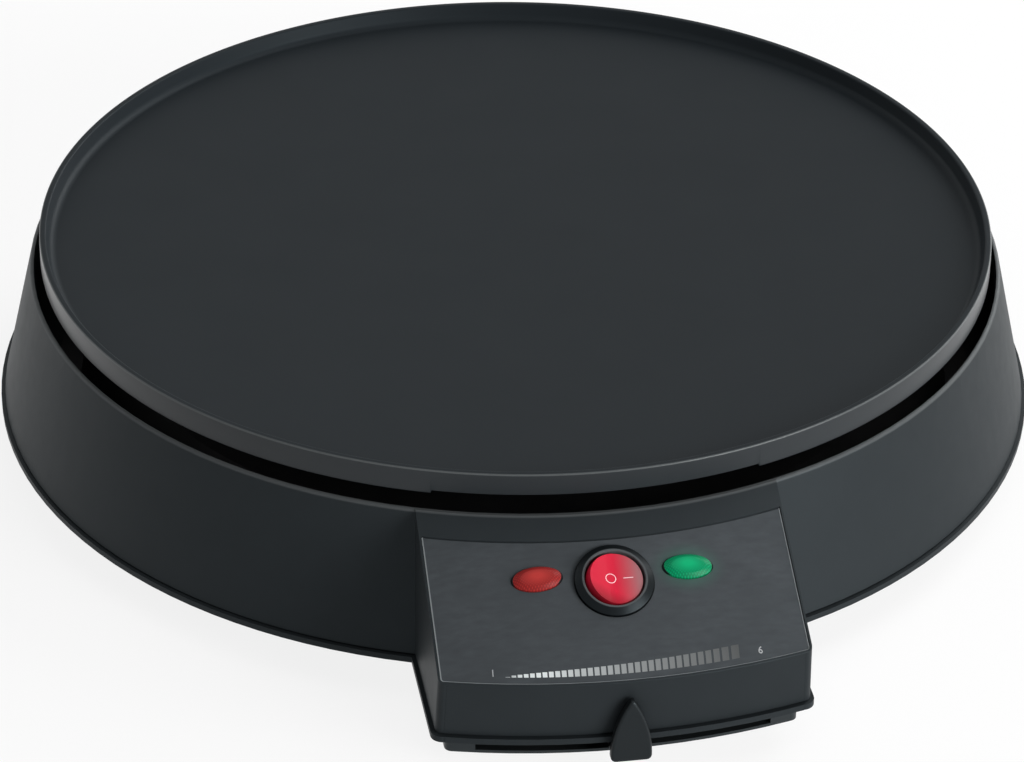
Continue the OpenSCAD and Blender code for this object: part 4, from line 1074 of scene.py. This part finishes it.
@dataclass
class Scale:
    """The printed scale on the label: bars that grow towards the hot end, and a number at each end."""

    count: int = 34
    first_angle: float = -10.25
    last_angle: float = 9.45
    foot_r: float = 199.1
    low_h: float = 0.1
    high_h: float = 3.85
    growth: float = 0.62
    pitch_gain: float = 0.25
    last_gain: float = 0.6
    last_power: float = 16.0
    filled: float = 0.74
    lean: float = -4.5
    lift: float = 0.05
    number_r: float = 199.0
    number_angle: float = 11.2
    number_h: float = 2.0
    capital_share: float = 0.7
    ink: Color = (0.95, 1.0, 1.01)
    ink_levels: tuple[Point, ...] = (
        (0.0, 0.3), (0.06, 0.6), (0.16, 0.66), (0.3, 0.42),
        (0.5, 0.25), (0.7, 0.165), (0.85, 0.115), (1.0, 0.07),
    )
    number_ink: Color = (0.3, 0.31, 0.32)

    def pitch(self, share: float) -> float:
        """Relative pitch of the bars at a share of the way along the scale."""
        return 1.0 + self.pitch_gain * share + self.last_gain * share**self.last_power

    def bars(self, panel: Panel) -> list[Shape]:
        """Each bar as a thin raised print, all leaning the same way."""
        shares = [index / (self.count - 1) for index in range(self.count)]
        unit = (self.last_angle - self.first_angle) / sum(self.pitch(share) for share in shares)
        up = Matrix.Rotation(math.radians(self.lean), 2) @ Vector((0.0, 1.0))
        angle = self.first_angle
        made = []
        for share in shares:
            pitch = self.pitch(share) * unit
            ends = [math.radians(angle + pitch * (0.5 + side * self.filled / 2)) for side in (-1, 1)]
            foot = [self.foot_r * Vector((math.sin(end), -math.cos(end))) for end in ends]
            rise = (self.low_h + (self.high_h - self.low_h) * share**self.growth) * up
            corners = [*foot, foot[1] + rise, foot[0] + rise]
            made.append(panel.draped(prism([(c.x, c.y) for c in corners], self.lift)))
            angle += pitch
        return made

    def number(self, panel: Panel, text: str, angle: float) -> Shape:
        """A numeral as a thin raised print, angle degrees from the middle."""
        curve = bpy.data.curves.new("numeral", "FONT")
        curve.body = text
        curve.size = self.number_h / self.capital_share
        curve.align_x = "CENTER"
        carrier = placed("numeral", curve)
        bpy.context.view_layer.update()
        data = bpy.data.meshes.new_from_object(carrier)
        mesh = bmesh.new()
        mesh.from_mesh(data)
        bpy.data.objects.remove(carrier)
        bpy.data.curves.remove(curve)
        bpy.data.meshes.remove(data)
        bmesh.ops.dissolve_limit(mesh, angle_limit=0.01, verts=mesh.verts, edges=mesh.edges)
        raised(mesh, mesh.faces[:], self.lift)
        foot = Matrix.Rotation(math.radians(angle), 4, "Z") @ Vector((0, -self.number_r, 0))
        place = Matrix.Translation(foot) @ Matrix.Rotation(math.radians(self.lean), 4, "Z")
        return panel.draped(moved(mesh, place))

    def build(self, bench: Bench) -> None:
        """Makes the bars and the numbers."""
        stops = tuple((share, darker(self.ink, level)) for share, level in self.ink_levels)
        fading = FadingInk(
            "scale_ink", self.ink, 0.5, "label_film", ior=1.2, axis=bench.axis(),
            first=self.first_angle, last=self.last_angle, stops=stops,
        )
        bench.piece("scale_bars", joined(self.bars(bench.panel)), fading)
        plain = Finish("number_ink", self.number_ink, 0.5, "label_film", mottle=0.06, mottle_mm=1.0)
        low = self.number(bench.panel, "1", -self.number_angle)
        high = self.number(bench.panel, "6", self.number_angle)
        bench.piece("scale_numbers", joined([low, high]), plain)


@dataclass
class Switch:
    """The round rocker switch: bezel and barrel, and the lit rocker with its marks."""

    bezel_r: float = 11.5
    bezel_top: float = 1.6
    bezel_edge: float = 0.35
    land_r: float = 9.5
    opening_r: float = 8.7
    barrel_r: float = 9.9
    barrel_depth: float = 12.0
    seat: float = 1.05
    pivot_depth: float = 1.2
    rocker_r: float = 8.4
    travel: float = 16.0
    roof: float = 2.2
    valley: float = 3.2
    edge: float = 0.5
    sharp_degrees: float = 35.0
    mark_lift: float = 0.04
    floor_depth: float = 3.0
    well_floor: float = 2.0
    ring_x: float = -1.2
    ring_r: Point = (1.36, 1.56)
    ring_foot: float = -0.02
    dash_x: Point = (2.5, 5.4)
    dash_half: float = 0.11
    top_normal: float = 0.9
    black: Color = (0.003, 0.0038, 0.0045)
    red: Color = (0.46, 0.008, 0.03)
    # the next two colors are the rocker's painted sheen and painted shade
    painted_sheen_red: Color = (0.28, 0.11, 0.12)
    painted_shade_red: Color = (0.11, 0.002, 0.004)

    def bezel(self) -> Shape:
        """The spun bezel and barrel."""
        outline = softened(
            [
                (0.0, -self.barrel_depth, 0),
                (self.barrel_r, -self.barrel_depth, 0.4),
                (self.barrel_r, -self.seat, 0),
                (self.bezel_r, -self.seat, 0.1),
                (self.bezel_r, self.bezel_edge, 0.3),
                (self.land_r, self.bezel_top, 0.25),
                (self.opening_r + 0.15, self.bezel_top, 0.2),
                (self.opening_r, self.bezel_top - 0.6, 0),
                (self.opening_r, self.well_floor - self.barrel_depth, 0),
                (0.0, self.well_floor - self.barrel_depth, 0),
            ],
            steps=4,
        )
        return spun(outline, 144)

    def roof_height(self, x: float) -> float:
        """Height of the rocker's top above its pivot: level at the right, rising softly to the left."""
        rise = math.tan(math.radians(self.travel))
        if x <= -self.valley:
            return self.roof - x * rise
        share = min(1.0, (x + self.valley) / (2 * self.valley))
        return self.roof + 2 * self.valley * rise * (share**3 - share - (share**4 - 1) / 2)

    def rocker(self) -> Shape:
        """A ball, cut to the bent top, with a soft valley and rounded rim."""
        mesh = bmesh.new()
        bmesh.ops.create_uvsphere(mesh, u_segments=96, v_segments=64, radius=self.rocker_r)
        rise = math.radians(self.travel)
        cuts = [
            ((0, 0, 0), (1, 0, 0)),
            ((0, 0, self.roof), (0, 0, 1)),
            ((0, 0, self.roof), (math.sin(rise), 0, math.cos(rise))),
            ((0, 0, -self.floor_depth), (0, 0, 1)),
        ]
        for point, normal in cuts:
            sliced(mesh, point, normal)
        gone = []
        for face in mesh.faces:
            middle = face.calc_center_median()
            top = self.roof + max(0.0, -middle.x) * math.tan(rise)
            if middle.z > top or middle.z < -self.floor_depth:
                gone.append(face)
        bmesh.ops.delete(mesh, geom=gone, context="FACES")
        bmesh.ops.remove_doubles(mesh, verts=mesh.verts, dist=MERGE_MM)
        crease = [v for v in mesh.verts if abs(v.co.x) < NEAR_MM and abs(v.co.z - self.roof) < NEAR_MM]
        valley = mesh.edges.new([v for v in crease if abs(v.co.y) > 1.0])
        high = [e for e in mesh.edges if e.is_boundary and e.verts[0].co.z > 0]
        for side in (-1, 1):
            loop = [e for e in high if sum(v.co.x for v in e.verts) * side > -1e-4]
            bmesh.ops.edgenet_fill(mesh, edges=[*loop, valley])
        low = [e for e in mesh.edges if e.is_boundary]
        bmesh.ops.holes_fill(mesh, edges=low, sides=0)
        bmesh.ops.recalc_face_normals(mesh, faces=mesh.faces)
        self.bend(mesh)
        sharp = math.radians(self.sharp_degrees)
        rounded_edges(mesh, lambda e: e.calc_face_angle(0) > sharp and e.verts[0].co.z > 0, self.edge, 4)
        held_flat(mesh, 20.0)
        return mesh

    def bend(self, mesh: Shape, steps: int = 6) -> None:
        """Turns the crease in the rocker's top into a soft valley."""
        for step in range(-steps, steps + 1):
            tops = [face for face in mesh.faces if face.normal.z > self.top_normal and face.calc_area() > 0.5]
            verts = {vert for face in tops for vert in face.verts}
            edges = {edge for face in tops for edge in face.edges}
            point = (self.valley * step / steps, 0, 0)
            geom = [*verts, *edges, *tops]
            bmesh.ops.bisect_plane(mesh, geom=geom, dist=MERGE_MM, plane_co=point, plane_no=(1, 0, 0))
        for vert in {v for f in mesh.faces if f.normal.z > self.top_normal for v in f.verts}:
            if abs(vert.co.x) < self.valley and vert.co.z > self.roof - NEAR_MM:
                vert.co.z = self.roof_height(vert.co.x)
        mesh.normal_update()

    def draped(self, mesh: Shape) -> Shape:
        """mesh, drawn flat in X and Y, laid on the rocker's top."""
        for vert in mesh.verts:
            vert.co.z += self.roof_height(vert.co.x)
        return mesh

    def marks(self) -> Shape:
        """The off ring and the on dash."""
        (inner, outer), foot, top = self.ring_r, self.ring_foot, self.mark_lift
        ring = spun([(inner, foot), (outer, foot), (outer, top), (inner, top)], 48, closed=True)
        (start, end), half = self.dash_x, self.dash_half
        dash = prism([(start, -half), (end, -half), (end, half), (start, half)], self.mark_lift)
        return self.draped(joined([moved(ring, Matrix.Translation((self.ring_x, 0, 0))), dash]))

    def build(self, bench: Bench) -> None:
        """Makes the bezel, the rocker and its marks."""
        place = bench.panel.switch()
        pivot = place @ Matrix.Translation((0, 0, -self.pivot_depth))
        black = BezelPlastic(
            "switch_plastic", self.black, 0.38, ior=1.22, sheen_tint=COOL, grain_depth=0.003,
            centre=bench.metres(place), slope=bench.panel.slope,
        )
        bench.piece("switch_bezel", moved(self.bezel(), place), black, replaces=["switch_body"])
        red = LitRocker(
            "rocker_red", self.red, 0.34, ior=1.25, grain_depth=0.001, glow=0.12,
            centre=bench.metres(pivot), slope=bench.panel.slope, pale=self.painted_sheen_red, deep=self.painted_shade_red,
        )
        bench.piece("rocker_cap", moved(self.rocker(), pivot), red, "rocker", ["switch_rocker"])
        ink = Finish("rocker_ink", (0.8, 0.55, 0.6), 0.4, "rocker_red", mottle=0.03)
        bench.piece("rocker_marks", moved(self.marks(), pivot), ink, "rocker")


@dataclass
class Lamps:
    """The two oval lamps: a domed lens with its collar and the tube for its bulb."""

    length: float = 14.6
    width: float = 7.8
    proud: float = 1.6
    label_depth: float = 0.4
    wall: float = 2.6
    play: float = 0.2
    collar: float = 1.0
    collar_h: float = 1.5
    bulb_r: float = 2.05
    tube_wall: float = 1.15
    tube_from: float = 1.6
    tube_reach: float = 8.5

    def lens(self) -> Shape:
        """The spun lens, drawn out to an oval, on its round bulb tube."""
        half, top = self.length / 2, self.proud - self.label_depth
        collar_r, collar_z = half + self.collar, -self.wall - self.play
        outline = softened(
            [
                (0.0, collar_z - self.collar_h, 0),
                (collar_r, collar_z - self.collar_h, 0.1),
                (collar_r, collar_z, 0.1),
                (half, collar_z, 0),
                (half, 0.0, 0.35),
                (half - 2.4, top - 0.25, 3.0),
                (0.0, top, 0),
            ],
            steps=5,
        )
        mesh = spun(outline, 96)
        for vert in mesh.verts:
            r = math.hypot(vert.co.x, vert.co.y)
            if r > 1e-6:
                shrunk = self.width / 2 + (r - half if r > half else 0.0)
                vert.co.y *= shrunk / max(r, half)
        inner, outer = self.bulb_r, self.bulb_r + self.tube_wall
        foot, end = (-self.wall - reach for reach in (self.tube_reach, self.tube_from))
        tube = spun([(inner, foot), (outer, foot), (outer, end), (inner, end)], 48, closed=True)
        return joined([mesh, tube])

    def build(self, bench: Bench) -> None:
        """Makes both lenses."""
        lamps = (
            ("red", -1, (0.35, 0.028, 0.024), (0.15, 0.01, 0.01), 0.12),
            ("green", 1, (0.0, 0.25, 0.1), (0.0, 0.11, 0.045), 0.36),
        )
        for name, side, color, deep, glow in lamps:
            place = bench.panel.lamp(side)
            centre = bench.metres(place)
            finish = CastLens(f"lens_{name}", color, 0.4, ior=1.2, glow=glow, centre=centre, deep=deep)
            bench.piece(f"{name}_lamp_lens", moved(self.lens(), place), finish, replaces=[f"{name}_lens"])


@dataclass
class Lever:
    """The temperature lever's grip, pointed like an arrowhead and rounded along its front."""

    width: float = 12.0
    foot_z: float = 6.9
    corner_r: float = 1.6
    top_z: float = 27.7
    tip_half: float = 0.45
    back_r: float = 202.55
    thickness: float = 2.6
    edge: float = 1.1
    back_edge: float = 0.25
    steps: int = 14
    corner_steps: int = 4

    def outline(self) -> list[Point]:
        """The grip's outline in X and Z: a foot with round corners and two arcs that meet at the tip."""
        half, bulge_z = self.width / 2, self.foot_z + self.corner_r
        rise, run = self.top_z - bulge_z, half - self.tip_half
        radius = (rise**2 + run**2) / (2 * run)
        sweep = math.asin(rise / radius)
        right = []
        for step in range(self.corner_steps + 1):
            angle = math.radians(-90 + 90 * step / self.corner_steps)
            x = half - self.corner_r + self.corner_r * math.cos(angle)
            right.append((x, bulge_z + self.corner_r * math.sin(angle)))
        for step in range(1, self.steps + 1):
            angle = sweep * step / self.steps
            right.append((half - radius + radius * math.cos(angle), bulge_z + radius * math.sin(angle)))
        left = [(-x, z) for x, z in reversed(right)]
        return [*right, *left]

    def build(self, bench: Bench) -> None:
        """Makes the grip."""
        mesh = prism(self.outline(), self.thickness)
        front = self.thickness - NEAR_MM
        rounded_edges(mesh, lambda e: all(v.co.z > front for v in e.verts), self.edge, 5)
        behind = [e for e in mesh.edges if all(abs(v.co.z) < NEAR_MM for v in e.verts)]
        rounded_edges(mesh, lambda e: e in behind and e.calc_face_angle(0) > 0.5, self.back_edge, 2)
        held_flat(mesh, 60.0)
        stand = Matrix.Translation((0, -self.back_r, 0)) @ Matrix.Rotation(math.radians(90), 4, "X")
        bench.piece("lever_grip_cap", moved(mesh, stand), Plastic.LEVER.value, "lever", ["lever_grip"])


# ---------- studio ----------


@dataclass
class Studio:
    """Floor, light and camera.

    The camera stands distance from the middle of the plate's crest, in millimetres. Its angles are radians.
    The lamps' places and the floor are in metres.
    """

    floor_half: float = 4.0
    floor_color: Color = (0.9, 0.9, 0.9)
    backdrop_share: float = 0.85
    ambient: float = 0.15
    zenith_dim: float = 0.6
    zenith_from: float = 0.6
    lamp_size: float = 1.4
    aim_height: float = 0.04
    distance: float = 1408.67231
    elevation: float = 0.51736
    pan: float = 0.00034
    tilt: float = -0.03687
    roll: float = -0.01312
    heading: float = 0.17203
    crest_z: float = 70.0
    lens_mm: float = 156.51
    sensor_mm: float = 36.0

    @staticmethod
    def seen(graph: Graph) -> Signal:
        """1 for rays from the camera and for reflected and refracted ones, 0 for the rest."""
        path = graph.node("ShaderNodeLightPath")
        kinds = ("Camera", "Glossy", "Transmission")
        rays = [Signal(graph, path.outputs[f"Is {kind} Ray"]) for kind in kinds]
        return (rays[0] + rays[1] + rays[2]).clamped()

    def light_world(self) -> None:
        """A white surround where it is seen, dimmer overhead, and a softer one as light."""
        world = bpy.data.worlds.new("studio")
        bpy.context.scene.world = world
        graph = Graph(world)
        direction = graph.node("ShaderNodeTexCoord").outputs["Generated"]
        height = graph.axis(direction, "Z")
        white = 1.0 - self.zenith_dim * height.past(self.zenith_from, 1.0 - self.zenith_from)
        strength = self.seen(graph) * (white - self.ambient) + self.ambient
        background = graph.node("ShaderNodeBackground", inputs={"Color": (1, 1, 1, 1), "Strength": strength})
        graph.node("ShaderNodeOutputWorld", inputs={"Surface": background.outputs[0]})

    def lay_floor(self) -> None:
        """A plain pale floor that keeps the machine's shadow."""
        mesh = bmesh.new()
        bmesh.ops.create_grid(mesh, x_segments=1, y_segments=1, size=self.floor_half)
        floor = placed("floor", baked("floor", mesh))
        material = bpy.data.materials.new("floor_paper")
        graph = Graph(material)
        paper = graph.node("ShaderNodeBsdfDiffuse", inputs={"Color": (*self.floor_color, 1)})
        shine = graph.node("ShaderNodeEmission", inputs={"Color": (1, 1, 1, 1), "Strength": 1.0})
        share = self.seen(graph) * self.backdrop_share
        mixed = graph.node("ShaderNodeMixShader", inputs={0: share, 1: paper.outputs[0], 2: shine.outputs[0]})
        graph.node("ShaderNodeOutputMaterial", inputs={"Surface": mixed.outputs[0]})
        floor.data.materials.append(material)

    def hang_lamp(self, name: str, place: Place, energy: float) -> None:
        """A square soft box at place, in metres, aimed at the machine."""
        light = bpy.data.lights.new(name, "AREA")
        light.shape = "SQUARE"
        light.size = self.lamp_size
        light.energy = energy
        aim = Vector((0, 0, self.aim_height)) - Vector(place)
        turn = aim.to_track_quat("-Z", "Y").to_matrix().to_4x4()
        placed(name, light).matrix_world = Matrix.Translation(place) @ turn

    def set_camera(self, bench: Bench) -> None:
        """The camera, aimed at the middle of the plate's crest and then panned, tilted and rolled."""
        back, rise = self.distance * math.cos(self.elevation), self.distance * math.sin(self.elevation)
        spot = Vector((0, -back, rise))
        ahead, right = -spot.normalized(), Vector((1, 0, 0))
        up = right.cross(ahead)
        panned = Matrix.Rotation(self.pan, 3, up)
        ahead, right = panned @ ahead, panned @ right
        tilted = Matrix.Rotation(self.tilt, 3, right)
        ahead, up = tilted @ ahead, tilted @ up
        rolled = Matrix.Rotation(self.roll, 3, ahead)
        right, up = rolled @ right, rolled @ up
        turn = Matrix.Rotation(-self.heading, 3, "Z")
        pose = Matrix.Identity(4)
        for column, axis in enumerate((turn @ right, turn @ up, turn @ -ahead)):
            pose.col[column] = (*axis, 0)
        centre = turn @ spot + Vector((0, bench.axis_y, self.crest_z))
        pose.col[3] = (*(centre * MM), 1)
        camera = bpy.data.cameras.new("camera")
        camera.sensor_fit = "HORIZONTAL"
        camera.sensor_width = self.sensor_mm
        camera.lens = self.lens_mm
        holder = placed("camera", camera)
        holder.matrix_world = pose
        bpy.context.scene.camera = holder

    def build(self, bench: Bench) -> None:
        """Sets up the studio."""
        bpy.context.scene.view_settings.view_transform = "Standard"
        self.light_world()
        self.lay_floor()
        self.hang_lamp("right_back", (2.0, 1.6, 0.9), 26.0)
        self.hang_lamp("right_front", (1.6, -1.8, 0.6), 86.0)
        self.hang_lamp("right_top", (1.5, 0.9, 1.7), 24.0)
        self.hang_lamp("left_back", (-1.8, 1.2, 0.9), 9.0)
        self.hang_lamp("overhead", (0.0, 0.0, 2.2), 8.0)
        self.set_camera(bench)


def dress_nodes(nodes: Mapping[str, bpy.types.Object]) -> None:
    """Gives the inner pieces and plain outer ones their finishes."""
    for choice, names in NODE_FINISHES.items():
        finish = choice.value
        for name in names:
            slots = nodes[name].data.materials
            slots.clear()
            slots.append(finish.material())
        LOG.info("%s: %s", finish.name, ", ".join(names))


def main() -> None:
    """Builds the dressed machine in its studio."""
    logging.basicConfig(level=logging.INFO, format="%(name)s %(message)s")
    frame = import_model()
    lever_joint = next(joint for joint in frame["joints"] if joint["name"] == "temperature_lever")
    bench = Bench(frame["nodes"], lever_joint["pos_m"][1] / MM)
    Studio().build(bench)
    dress_nodes(frame["nodes"])
    for part in (BakingPlate(), Housing(), Scale(), Switch(), Lamps(), Lever()):
        part.build(bench)


if __name__ == "__main__":
    main()
